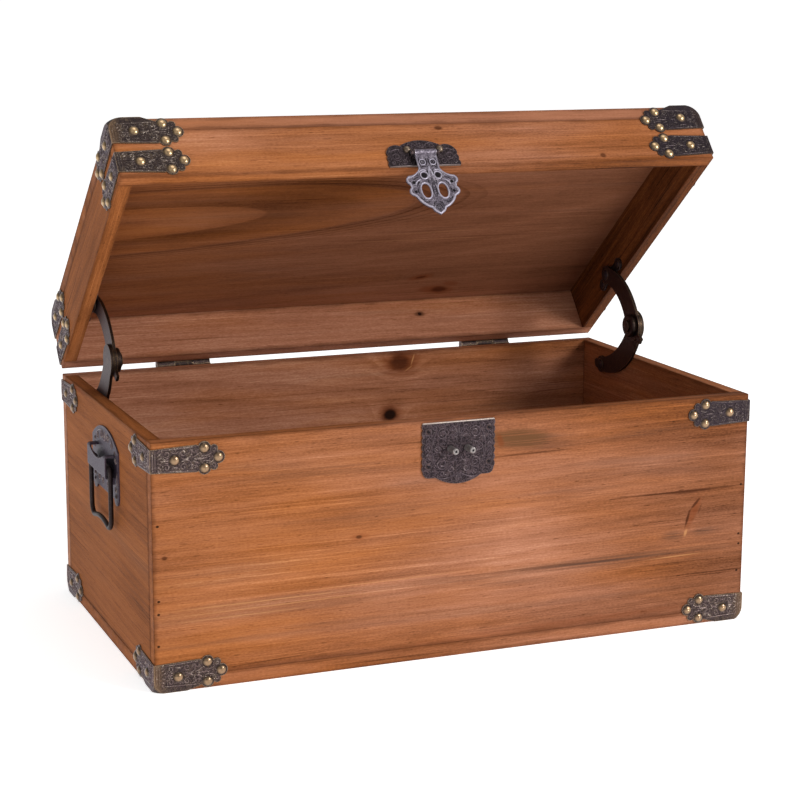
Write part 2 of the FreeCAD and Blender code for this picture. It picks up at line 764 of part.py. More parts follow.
def handle_plate():
    """A plate with an arched top and two lobes at the foot."""
    side = handle_plate_half_width
    half_outline = [(side, handle_plate_shoulder), (side, -handle_lobe_drop),
                    (handle_lobe_offset, -handle_plate_foot)]
    corners = [end_point(0, y, z) for y, z in half_outline]
    corners += [end_point(0, -y, z) for y, z in reversed(half_outline)]
    edges = outline_of(corners)[:-1]
    edges.append(arc(corners[-1], end_point(0, 0, handle_plate_crown), corners[0]))
    pieces = [prism(edges, vec(-handle_sheet, 0, 0))]
    for sign in (-1, 1):
        center = end_point(0, sign * handle_lobe_offset, -handle_lobe_drop)
        pieces.append(Part.makeCylinder(handle_lobe_radius, handle_sheet, center, vec(-1, 0, 0)))
    return merge(pieces)


def hat(foot, out, half, radius, y):
    """One face of the strap across the plate: two legs and a flat crown with round corners."""
    bend = radius * (1 - math.sqrt(0.5))
    edges = [Part.makeLine(end_point(out, y, half - radius), end_point(out, y, radius - half))]
    for sign in (-1, 1):
        leg_end = end_point(out - radius, y, sign * half)
        edges.append(Part.makeLine(end_point(foot, y, sign * half), leg_end))
        edges.append(arc(leg_end, end_point(out - bend, y, sign * (half - bend)),
                         end_point(out, y, sign * (half - radius))))
    return edges


def handle_strap():
    """A strap bent over the ends of the bail, with a flange at the foot and its upper edge scooped out."""
    start = -strap_length / 2
    plate_face = handle_sheet
    flange_face = plate_face + handle_sheet
    inside = handle_axis_out + bail_wire_radius + strap_clearance
    inner_half = strap_half_height - handle_sheet
    flange_end = -strap_half_height - strap_flange
    edges = hat(flange_face, inside + handle_sheet, strap_half_height, strap_corner_radius, start)
    edges += hat(plate_face, inside, inner_half, strap_corner_radius - handle_sheet, start)
    upper = [(plate_face, inner_half), (plate_face, strap_half_height), (flange_face, strap_half_height)]
    lower = [(plate_face, -inner_half), (plate_face, flange_end), (flange_face, flange_end),
             (flange_face, -strap_half_height)]
    for foot in (upper, lower):
        edges += outline_of([end_point(out, start, z) for out, z in foot])[:-1]
    whole = prism(edges, vec(0, strap_length, 0))
    scoop_start = end_point(0, -strap_scoop_half_width, strap_half_height)
    scoop_end = end_point(0, strap_scoop_half_width, strap_half_height)
    scoop = [arc(scoop_start, end_point(0, 0, strap_scoop_floor), scoop_end)]
    scoop.append(Part.makeLine(scoop_end, scoop_start))
    return whole.cut(prism(scoop, vec(-2 * inside, 0, 0)))


def bail_half_path():
    """Half of the bail's centre line, from its end inside the strap to the middle of its grip."""
    out = handle_axis_out
    shoulder = bail_shoulder_radius
    corner = bail_corner_radius
    wave = math.radians(bail_wave_angle)
    half_turn = math.radians(45 + bail_wave_angle / 2)
    wide = bail_half_width
    corner_y = wide - corner
    corner_z = corner - bail_drop
    crest_y = corner_y - corner * math.sin(wave)
    crest_z = corner_z - corner * math.cos(wave)
    crest_rise = crest_y * math.tan(wave / 2)
    bend = shoulder * (1 - math.sqrt(0.5))
    stub = end_point(out, wide - shoulder - bail_stub, 0)
    shoulder_start = end_point(out, wide - shoulder, 0)
    leg_top = end_point(out, wide, -shoulder)
    leg_foot = end_point(out, wide, corner_z)
    corner_end = end_point(out, crest_y, crest_z)
    corner_middle = end_point(out, corner_y + corner * math.cos(half_turn),
                              corner_z - corner * math.sin(half_turn))
    quarter_y = crest_y * math.sin(wave / 2) / math.sin(wave)
    crest_radius = crest_y / math.sin(wave)
    quarter_z = crest_z + crest_radius * (math.cos(wave / 2) - math.cos(wave))
    return [Part.makeLine(stub, shoulder_start),
            arc(shoulder_start, end_point(out, wide - bend, -bend), leg_top),
            Part.makeLine(leg_top, leg_foot),
            arc(leg_foot, corner_middle, corner_end),
            arc(corner_end, end_point(out, quarter_y, quarter_z), end_point(out, 0, crest_z + crest_rise))]


def bail():
    """The bent wire that hangs from the strap, with a grip that rises a little in the middle."""
    path = Part.Wire(bail_half_path())
    start = path.Edges[0].Vertexes[0].Point
    section = Part.Wire(Part.Circle(start, Y_AXIS, bail_wire_radius).toShape())
    half = path.makePipeShell([section], True, False)
    other = half.mirror(end_point(0, 0, 0), Y_AXIS)
    return merge([half, other])


def handle_nails():
    nail = domed_nail(plate_nail_radius, plate_nail_height)
    spots = [(handle_nail_offset, handle_nail_rise), (handle_lobe_offset, -handle_lobe_drop)]
    return [placed(nail, end_point(handle_sheet, sign * y, z), vec(-1, 0, 0))
            for sign in (-1, 1) for y, z in spots]


# The whole chest, as named nodes

def both_sides(name, left_shape):
    """A left piece and its mirror image on the right."""
    return {"left_" + name: left_shape, "right_" + name: mirrored(left_shape, X_AXIS)}


def with_mirror_images(shapes):
    return shapes + [mirrored(shape, X_AXIS) for shape in shapes]


def base_nodes():
    nodes = base_boards()
    straps, strap_nails = corner_set("base_top_corner", strap_bracket(), bracket_nails(0, 0),
                                     base_height - strap_center_below_rim)
    caps, cap_nails = corner_set("base_bottom_corner", cap_bracket(0),
                                 bracket_nails(cap_leg_center, cap_first_nail_height), 0)
    nodes.update(straps)
    nodes.update(caps)
    nodes["base_corner_nails"] = Part.makeCompound(strap_nails + cap_nails)
    nodes["strike_plate"] = strike_plate()
    nodes["strike_posts"] = Part.makeCompound(strike_posts())
    nodes["plate_nails"] = Part.makeCompound(strike_nails() + with_mirror_images(handle_nails()))
    for name, side in SIDES.items():
        nodes[name + "_hinge_base_leaf"] = hinge_leaf(side, on_lid=False)
    nodes["hinge_pins"] = Part.makeCompound(hinge_pins())
    nodes["hinge_base_screws"] = Part.makeCompound(hinge_screws(-1))
    nodes.update(both_sides("handle_plate", handle_plate()))
    nodes.update(both_sides("handle_strap", handle_strap()))
    stud = placed(stay_stud(lower_arm_level, collar=False), stay_foot, X_AXIS)
    nodes["stay_base_studs"] = Part.makeCompound(with_mirror_images([stud]))
    return nodes


def lid_nodes():
    nodes = lid_boards()
    caps, cap_nails = corner_set("lid_top_corner", cap_bracket(sheet),
                                 bracket_nails(cap_leg_center, cap_first_nail_height), lid_top,
                                 upside_down=True)
    straps, strap_nails = corner_set("lid_rim_corner", strap_bracket(), bracket_nails(0, 0),
                                     lid_foot + strap_center_above_lid_edge)
    nodes.update(caps)
    nodes.update(straps)
    nodes["lid_corner_nails"] = Part.makeCompound(cap_nails + strap_nails)
    nodes["hasp_plate"] = hasp_plate()
    nodes["hasp_rivets"] = Part.makeCompound(hasp_rivets())
    nodes["hasp_pin"] = hasp_pin()
    nodes["hasp"] = hasp()
    for name, side in SIDES.items():
        nodes[name + "_hinge_lid_leaf"] = hinge_leaf(side, on_lid=True)
    nodes["hinge_lid_screws"] = Part.makeCompound(hinge_screws(1))
    nodes.update(both_sides("stay_lid_plate", stay_plate()))
    stud = placed(stay_stud(upper_arm_level, collar=True), stay_crown_shut, X_AXIS)
    nodes["stay_lid_studs"] = Part.makeCompound(with_mirror_images([stud]))
    nodes["stay_lid_screws"] = Part.makeCompound(with_mirror_images(stay_plate_screws()))
    return {name: opened(shape) for name, shape in nodes.items()}


def moving_nodes():
    nodes = both_sides("stay_lower_arm", stay_lower_arm())
    nodes.update(both_sides("stay_upper_arm", stay_upper_arm()))
    nodes.update(both_sides("stay_knob", stay_knob()))
    nodes.update(both_sides("bail", bail()))
    return nodes


def main():
    os.makedirs("parts", exist_ok=True)
    for nodes in (base_nodes(), lid_nodes(), moving_nodes()):
        for name, shape in nodes.items():
            shape.exportStep("parts/" + name + ".step")


main()
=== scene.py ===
import json
import math

import bpy
import numpy as np
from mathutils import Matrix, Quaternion, Vector


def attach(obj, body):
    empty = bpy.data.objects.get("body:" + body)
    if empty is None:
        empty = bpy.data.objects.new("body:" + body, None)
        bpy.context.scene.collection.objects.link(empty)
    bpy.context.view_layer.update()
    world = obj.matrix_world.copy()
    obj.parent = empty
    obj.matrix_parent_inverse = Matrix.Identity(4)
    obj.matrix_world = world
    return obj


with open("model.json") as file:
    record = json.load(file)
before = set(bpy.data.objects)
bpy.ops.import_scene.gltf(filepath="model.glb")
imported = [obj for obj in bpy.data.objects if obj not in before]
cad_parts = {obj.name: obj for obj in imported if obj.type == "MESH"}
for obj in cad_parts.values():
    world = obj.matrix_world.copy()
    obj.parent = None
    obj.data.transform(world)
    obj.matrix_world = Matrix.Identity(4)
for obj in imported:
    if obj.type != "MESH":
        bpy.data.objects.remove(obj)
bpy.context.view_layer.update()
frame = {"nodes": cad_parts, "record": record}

nodes = frame["nodes"]

# Sizes of the chest, in millimetres, and how far its lid stands open, in degrees
HALF_WIDTH = 205.0
HALF_DEPTH = 115.0
BASE_HEIGHT = 156.0
LID_FOOT = 157.0
LID_TOP = 200.0
BOARD = 9.0
SHEET = 0.8
HINGE_Y = 118.4
HINGE_Z = 156.5
LID_OPEN = 40.28
LATCH_X = -6.2
LATCH_SHEET = 1.0
HASP_Y = -119.6
HASP_Z = 165.6
HASP_LEAN = 3.2
POST_Z = 136.9
POST_REACH = 5.8
POST_TIP = 10.5
HANDLE_Y = -7.0
HANDLE_Z = 122.0
PER_METRE = 1000

ENDS = {"front": -1, "back": 1}
SIDES = {"left": -1, "right": 1}
CORNERS = [(end, side) for end in ENDS for side in SIDES]


def linear(red, green, blue):
    """A colour given as 0 to 255 on a screen, as the light that it stands for."""
    def channel(value):
        share = value / 255
        return share / 12.92 if share <= 0.04045 else ((share + 0.055) / 1.055) ** 2.4
    return (channel(red), channel(green), channel(blue), 1.0)


# Node trees

class Graph:
    """A short way to write a material's nodes."""

    def __init__(self, name):
        self.material = bpy.data.materials.new(name)
        self.material.use_nodes = True
        self.tree = self.material.node_tree
        self.tree.nodes.clear()

    def node(self, kind, **settings):
        made = self.tree.nodes.new(kind)
        for key, value in settings.items():
            setattr(made, key, value)
        return made

    def feed(self, socket, value):
        if isinstance(value, bpy.types.NodeSocket):
            self.tree.links.new(value, socket)
        else:
            socket.default_value = value

    def math(self, operation, *values, clamp=False):
        made = self.node("ShaderNodeMath", operation=operation, use_clamp=clamp)
        for socket, value in zip(made.inputs, values):
            self.feed(socket, value)
        return made.outputs[0]

    def add(self, first, *others):
        for other in others:
            first = self.math("ADD", first, other)
        return first

    def times(self, first, *others):
        for other in others:
            first = self.math("MULTIPLY", first, other)
        return first

    def minus(self, a, b):
        return self.math("SUBTRACT", a, b)

    def vector(self, x, y, z):
        made = self.node("ShaderNodeCombineXYZ")
        for socket, value in zip(made.inputs, (x, y, z)):
            self.feed(socket, value)
        return made.outputs[0]

    def split(self, vector):
        made = self.node("ShaderNodeSeparateXYZ")
        self.feed(made.inputs[0], vector)
        return made.outputs

    def step(self, value, low, high, start=0.0, end=1.0):
        """A smooth change from start to end as value goes from low to high."""
        made = self.node("ShaderNodeMapRange", interpolation_type="SMOOTHSTEP")
        for socket, given in zip(made.inputs, (value, low, high, start, end)):
            self.feed(socket, given)
        return made.outputs[0]

    def fade(self, value, low, high):
        """A smooth change from 1 to 0 as value goes from low to high."""
        return self.step(value, low, high, 1.0, 0.0)

    def size(self, value):
        return self.math("ABSOLUTE", value)

    def noise(self, vector, detail=2.0, roughness=0.5, distortion=0.0, scale=1.0):
        """Noise from 0 to 1 about 0.5."""
        made = self.node("ShaderNodeTexNoise")
        self.feed(made.inputs["Vector"], vector)
        made.inputs["Scale"].default_value = scale
        made.inputs["Detail"].default_value = detail
        made.inputs["Roughness"].default_value = roughness
        made.inputs["Distortion"].default_value = distortion
        return made.outputs[0]

    def ramp(self, factor, stops):
        made = self.node("ShaderNodeValToRGB")
        elements = made.color_ramp.elements
        while len(elements) < len(stops):
            elements.new(0.5)
        for element, (place, colour) in zip(elements, stops):
            element.position = place
            element.color = colour
        self.feed(made.inputs[0], factor)
        return made.outputs[0]

    def mix(self, factor, a, b):
        made = self.node("ShaderNodeMix", data_type="RGBA")
        for socket, value in zip((made.inputs[0], made.inputs[6], made.inputs[7]), (factor, a, b)):
            self.feed(socket, value)
        return made.outputs[2]

    def bump(self, height, distance, strength):
        made = self.node("ShaderNodeBump")
        self.feed(made.inputs["Height"], height)
        made.inputs["Distance"].default_value = distance
        made.inputs["Strength"].default_value = strength
        return made.outputs[0]

    def shut(self, vector, center=(0, 0, 0)):
        """A place or a direction on the open lid, turned to where it is on the shut lid."""
        turn = self.node("ShaderNodeVectorRotate", rotation_type="X_AXIS")
        self.feed(turn.inputs["Vector"], vector)
        turn.inputs["Center"].default_value = center
        turn.inputs["Angle"].default_value = math.radians(LID_OPEN)
        return turn.outputs[0]

    def place(self, on_lid):
        """Where a point is in millimetres, on the lid as if it were shut."""
        found = self.node("ShaderNodeTexCoord").outputs["Object"]
        if on_lid:
            found = self.shut(found, (0, HINGE_Y / PER_METRE, HINGE_Z / PER_METRE))
        scale = self.node("ShaderNodeVectorMath", operation="SCALE")
        self.feed(scale.inputs[0], found)
        scale.inputs["Scale"].default_value = PER_METRE
        return scale.outputs[0]

    def finish(self, **sockets):
        shader = self.node("ShaderNodeBsdfPrincipled")
        for name, value in sockets.items():
            self.feed(shader.inputs[name.replace("_", " ")], value)
        out = self.node("ShaderNodeOutputMaterial")
        self.tree.links.new(shader.outputs[0], out.inputs[0])
        return self.material


# Wood

PINE = [(0.0, linear(46, 23, 12)), (0.25, linear(98, 55, 29)), (0.5, linear(146, 86, 46)),
        (0.72, linear(176, 108, 62)), (1.0, linear(208, 144, 92))]
ROSY_PINE = [(0.0, linear(46, 24, 14)), (0.25, linear(98, 58, 37)), (0.5, linear(142, 91, 65)),
             (0.72, linear(172, 115, 87)), (1.0, linear(206, 152, 122))]
GREY_STAIN = linear(86, 60, 48)
KNOT = linear(66, 31, 16)
CRACK = linear(70, 36, 20)
PALE_LINE = linear(206, 148, 96)
BURL = linear(122, 60, 28)
OLIVE = linear(104, 70, 44)
HOLE = linear(26, 15, 11)

# Noise in the wood: how fine it is along and across the grain, its detail and its shift along the grain
SEED_STEP = 137.0
LAYERS = {
    "sway": (0.0045, 0.012, 2.0, 0.0),
    "ripple": (0.011, 0.05, 2.0, 40.0),
    "flame": (0.006, 0.02, 2.0, 0.0),
    "wobble": (0.12, 0.4, 2.0, 9.0),
    "fibre": (0.008, 0.4, 3.0, 0.0),
    "fine": (0.06, 1.6, 2.0, 3.0),
    "zones": (0.004, 0.035, 1.0, 55.0),
    "pale": (0.004, 0.9, 2.0, 33.0),
    "drawn": (0.006, 0.9, 2.0, 91.0),
    "speckle": (0.5, 1.4, 1.0, 17.0),
    "streaks": (0.0035, 0.1, 3.0, 70.0),
    "clouds": (0.008, 0.022, 2.0, 0.0),
    "flecks": (0.12, 1.0, 1.0, 21.0),
    "hue": (0.006, 0.05, 3.0, 0.0),
    "smear": (0.009, 0.9, 3.0, 63.0),
    "chafe": (0.05, 0.3, 2.0, 5.0),
}
BAND_SCALE = (0.13, 0.002)
RIPPLE, WOBBLE, CHAFE = 1.6, 0.5, 5.0
FLAME_WANDER = 0.025

# What each part of the grain adds to how light the wood is
BANDS, BANDS_BY_CONTRAST = 0.14, 1.6
SWINGS = {"fibre": 0.2, "fine": 0.36, "speckle": 0.3, "streaks": 0.4, "clouds": 0.46}
PALE_LIFT, DRAWN_LIFT, FLECK_LIFT = 0.14, -0.17, -0.22
HEART_LIFT, CONTOUR_LIFT, GLOW_LIFT = 0.15, -0.14, 0.2
GLOW_BLUSH, OUTER_BLUSH, HUE_SWING = 0.7, 0.5, 2.4
CONTOURS_PER_RING = 8.0
RING_EDGE, FLAME_EDGE = 0.92, 0.96

# Marks on a face, each as the shares of the way to its edge where it begins to fade and where it is gone
GLOW_FADE = (0.0, 1.3)
KNOT_FADE = (0.45, 1.15)
KNOT_PUSH = (0.2, 3.2)
STAIN_FADE = (0.0, 1.15)
BURL_FADE = (0.4, 1.2)
LINE_FADE = (0.3, 1.0)
HOLE_FADE = (0.6, 1.1)
HOLE_FLATNESS = 0.8
WORN_EDGE = (-3.2, 0.4)
WOOD_BUMP = 0.00035


def ellipse(graph, u, v, center, radii, angle):
    """Distance from the middle of an ellipse on a face, as a share of the way to its edge."""
    across = graph.minus(u, center[0])
    up = graph.minus(v, center[1])
    cosine, sine = math.cos(math.radians(angle)), math.sin(math.radians(angle))
    along = graph.add(graph.times(across, cosine / radii[0]), graph.times(up, sine / radii[0]))
    aside = graph.minus(graph.times(up, cosine / radii[1]), graph.times(across, sine / radii[1]))
    return graph.math("SQRT", graph.add(graph.times(along, along), graph.times(aside, aside)))


def pine(name, grain, on_lid=False, seed=0.0, pith=(0.0, 60.0), slope=0.04, spacing=5.0, contrast=0.04, tone=0.6,
         wander=9.0, blush=(0.3, 0.3), painted_right_shade=0.0, depth=1.0, skirt=0.0, flame=None, glows=(), knots=(), stains=(),
         lines=(), burls=(), holes=(), box=None):
    """Stained pine. Grain gives the axes along the grain, across the face and through the board.

    The rings lie round the pith, or round the ellipse of a flame. Tone, skirt at the front and back edges and glows
    say how light the wood is, and blush how rosy each end is. The right-end shade is painted shade that darkens the
    board toward its right end, and some glows are painted light and painted shade. Box is the board's own box,
    along whose edges it is worn.
    """
    graph = Graph(name)
    axes = dict(zip("xyz", graph.split(graph.place(on_lid))))
    u, v, w = (axes[axis] for axis in grain)
    shifted = graph.add(u, seed * SEED_STEP)

    def layer(kind):
        along, across, detail, shift = LAYERS[kind]
        return graph.noise(graph.vector(graph.times(graph.add(shifted, shift), along), graph.times(v, across),
                                        graph.times(w, across)), detail)

    def swing(noise, size):
        """Noise moved to lie about nought."""
        return graph.times(graph.minus(noise, 0.5), size)

    def away(*oval):
        return ellipse(graph, u, v, *oval)

    # How light and how rosy the board is, end to end, with painted shade darkening it toward the right end
    end = graph.step(u, -HALF_WIDTH, HALF_WIDTH)
    lift = graph.times(end, painted_right_shade)
    rosy = graph.add(blush[0], graph.times(end, blush[1] - blush[0]))
    if skirt:
        edge = graph.step(graph.size(v), HALF_DEPTH - 1.0, HALF_DEPTH - 0.3)
        lift = graph.add(lift, graph.times(edge, skirt))
    # Glows lighten or darken patches; on some boards they are painted light and painted shade
    for *oval, amount in glows:
        glow = graph.times(graph.fade(away(*oval), *GLOW_FADE), amount)
        lift = graph.add(lift, graph.times(glow, GLOW_LIFT))
        rosy = graph.add(rosy, graph.times(glow, GLOW_BLUSH))

    # Rings, pushed aside by knots
    if flame:
        rings = graph.add(away(*flame), swing(layer("flame"), FLAME_WANDER * wander))
        radius = graph.times(rings, abs(spacing))
        contours = graph.times(graph.step(graph.math("FRACT", graph.times(rings, CONTOURS_PER_RING)), 0.55, 0.9),
                               graph.step(rings, 1.98, 2.02), graph.fade(rings, 2.2, 2.7))
        lift = graph.add(lift, graph.times(graph.fade(rings, 0.3, 1.1), HEART_LIFT),
                         graph.times(contours, CONTOUR_LIFT))
        rosy = graph.add(rosy, graph.step(rings, 1.95, 2.05, 0.0, OUTER_BLUSH))
    else:
        off_v = graph.minus(v, pith[0])
        off_w = graph.minus(w, pith[1])
        radius = graph.math("SQRT", graph.add(graph.times(off_v, off_v), graph.times(off_w, off_w)))
        radius = graph.add(radius, graph.times(u, slope), swing(layer("sway"), wander),
                           swing(layer("ripple"), RIPPLE))
    wobble = swing(layer("wobble"), WOBBLE)
    dark = None
    for center, radii, angle in knots:
        off = graph.add(away(center, radii, angle), wobble)
        radius = graph.add(radius, graph.times(graph.fade(off, *KNOT_PUSH), 1.6 * min(radii)))
        core = graph.fade(off, *KNOT_FADE)
        dark = core if dark is None else graph.math("MAXIMUM", dark, core)
    phase = graph.math("FRACT", graph.times(radius, 1 / spacing))
    late = graph.times(graph.step(phase, 0.2, 0.9), graph.fade(phase, FLAME_EDGE if flame else RING_EDGE, 1.0))
    if flame:
        late = graph.times(late, graph.step(rings, 1.9, 2.5, 1.0, 0.1))

    # Grain
    outward, along = BAND_SCALE
    bands = graph.noise(graph.vector(graph.times(radius, outward), graph.times(shifted, along), seed), 2.0)
    parts = {kind: layer(kind) for kind in SWINGS}
    zones = layer("zones")
    pale = graph.times(graph.step(layer("pale"), 0.56, 0.68), graph.step(zones, 0.46, 0.6))
    drawn = graph.times(graph.step(layer("drawn"), 0.58, 0.7), graph.fade(zones, 0.4, 0.54))
    flecks = graph.step(layer("flecks"), 0.67, 0.76)
    grain_value = graph.add(swing(bands, BANDS_BY_CONTRAST * contrast + BANDS),
                            *[swing(parts[kind], size) for kind, size in SWINGS.items()],
                            graph.times(pale, PALE_LIFT),
                            graph.times(drawn, DRAWN_LIFT),
                            graph.times(flecks, FLECK_LIFT))
    value = graph.add(tone, lift, graph.times(late, -contrast), graph.times(grain_value, depth))
    rosy = graph.math("ADD", rosy, swing(layer("hue"), HUE_SWING), clamp=True)
    colour = graph.mix(rosy, graph.ramp(value, PINE), graph.ramp(value, ROSY_PINE))
    colour = graph.mix(graph.times(graph.step(parts["streaks"], 0.58, 0.74), 0.3), colour, GREY_STAIN)

    # Marks
    smear = graph.step(layer("smear"), 0.3, 0.66, 0.15, 1.0)
    for *oval, strength in stains:
        mark = graph.times(graph.fade(away(*oval), *STAIN_FADE), smear, strength)
        colour = graph.mix(mark, colour, GREY_STAIN)
    for *oval, strength in burls:
        if strength > 0:
            texture = graph.step(parts["speckle"], 0.2, 0.7, 0.7, 1.0)
        else:
            texture = graph.step(smear, 0.1, 0.6, 0.35, 1.0)
        mark = graph.times(graph.fade(graph.add(away(*oval), wobble), *BURL_FADE), texture, abs(strength))
        colour = graph.mix(mark, colour, BURL if strength > 0 else OLIVE)
    for *oval, strength in lines:
        mark = graph.times(graph.fade(graph.add(away(*oval), wobble), *LINE_FADE), abs(strength))
        colour = graph.mix(mark, colour, CRACK if strength > 0 else PALE_LINE)
    if dark is not None:
        colour = graph.mix(graph.times(dark, graph.step(parts["fine"], 0.2, 0.8, 0.6, 0.9)), colour, KNOT)
    for center, size in holes:
        off = away(center, (size, HOLE_FLATNESS * size), 0)
        colour = graph.mix(graph.step(off, *HOLE_FADE, 0.9, 0.0), colour, HOLE)
    if box:
        reach = []
        for axis, (low, high) in zip("xyz", box):
            middle, half = (low + high) / 2, (high - low) / 2
            reach.append(graph.minus(graph.size(graph.minus(axes[axis], middle)), half))
        a, b, c = reach
        second = graph.math("MINIMUM", graph.math("MAXIMUM", a, b), c)
        near = graph.math("MAXIMUM", graph.math("MINIMUM", a, b), second)
        ragged = graph.add(near, swing(layer("chafe"), CHAFE))
        colour = graph.mix(graph.times(graph.step(ragged, *WORN_EDGE), 0.5), colour, KNOT)
    relief = graph.add(graph.times(parts["fibre"], 0.6), graph.times(parts["fine"], 0.5), graph.times(late, 0.25),
                       graph.times(flecks, -0.4))
    return graph.finish(
        Base_Color=colour,
        Roughness=graph.add(0.52, graph.times(parts["fibre"], 0.16)),
        Specular_IOR_Level=0.03,
        Normal=graph.bump(relief, WOOD_BUMP, 0.35))


LONG = ("x", "z", "y")
CROSS = ("y", "z", "x")
FLAT = ("x", "y", "z")
INNER_X = HALF_WIDTH - BOARD
INNER_Y = HALF_DEPTH - BOARD


def board_box(name, low, high):
    """The three spans of a board by the wall that it makes."""
    return {
        "front": ((-HALF_WIDTH, HALF_WIDTH), (-HALF_DEPTH, -INNER_Y), (low, high)),
        "back": ((-HALF_WIDTH, HALF_WIDTH), (INNER_Y, HALF_DEPTH), (low, high)),
        "left": ((-HALF_WIDTH, -INNER_X), (-INNER_Y, INNER_Y), (low, high)),
        "right": ((INNER_X, HALF_WIDTH), (-INNER_Y, INNER_Y), (low, high)),
        "flat": ((-HALF_WIDTH, HALF_WIDTH), (-HALF_DEPTH, HALF_DEPTH), (low, high)),
    }[name]


RAIL_TOP = LID_TOP - BOARD

# Looks of the boards. Marks are given by middle, radii, angle and strength on the face: a burl below nought is
# olive, and a line below nought is pale
PIN_HOLE = 1.1
FRONT = dict(
    grain=LONG, seed=1.0, pith=(-170.0, -90.0), slope=-0.045, spacing=6.0, tone=0.6, blush=(0.25, 1.0), painted_right_shade=-0.06,
    glows=[((135, 150), (100, 30), 0, -1.2), ((192, 118), (34, 46), 0, -0.55), ((152, 42), (60, 32), 0, -0.7),
           ((45, 62), (75, 28), 0, 0.8), ((-104, 50), (50, 22), 0, -0.45)],
    knots=[((-72.9, 85.4), (2.4, 1.4), 0), ((-197.6, 84.6), (2.2, 1.5), 0)],
    burls=[((36, 139.5), (25, 7.0), -4, -0.9), ((165.6, 77.8), (12.5, 3.4), 63, 0.6),
           ((23, 139), (2.6, 5.0), 20, 0.6), ((-72.9, 85.4), (7, 2.6), 4, 0.4),
           ((-60, 3.5), (150, 3.0), 1, 0.6), ((60, 12), (120, 3.0), 1, 0.3)],
    stains=[((44, 137), (40, 8), -5, 1.1), ((-90, 130), (80, 7), 1, 0.45), ((125, 136), (70, 4), 3, 0.4),
            ((15, 47), (60, 5), -5, 0.5), ((100, 51.5), (105, 4.5), 0, 0.95), ((151, 63), (13, 4.6), 0, 1.1),
            ((174, 64.2), (15, 3.4), 3, 1.0), ((48, 12), (50, 6), -4, 0.35), ((-60, 100), (90, 10), 2, 0.3),
            ((-150, 72), (60, 8), 2, 0.3), ((120, 112), (90, 8), 1, 0.3)],
    lines=[((152, 93.2), (60, 0.9), 0, 0.85), ((46, 129), (40, 0.8), 1, 0.6), ((-126, 12.6), (38, 0.5), 2, 0.6),
           ((167.2, 84.3), (7.2, 1.3), 47, 0.85), ((161.4, 74.4), (8.2, 1.4), 74, 0.9),
           ((170.7, 80.4), (5.5, 0.8), 68, 0.4), ((164, 92.8), (20, 1.7), 2, 0.6),
           ((160.2, 64.6), (3.6, 1.5), 70, -0.5), ((153, 49.2), (27, 0.6), 1, -0.45),
           ((-140, 51.2), (80, 0.6), 0.4, -0.4), ((-128, 47.6), (95, 0.5), 0.6, -0.4),
           ((-150, 43.6), (60, 0.5), 0.4, -0.35), ((-60, 55), (90, 0.5), 0.5, -0.3)],
    holes=[(place, PIN_HOLE) for place in ((-201.6, 104.7), (201.7, 94.3), (-201.7, 58.0), (-201.9, 49.9),
                                           (-202.3, 29.8), (201.3, 60.1), (201.6, 53.1), (200.9, 34.4))],
    box=board_box("front", BOARD, BASE_HEIGHT))
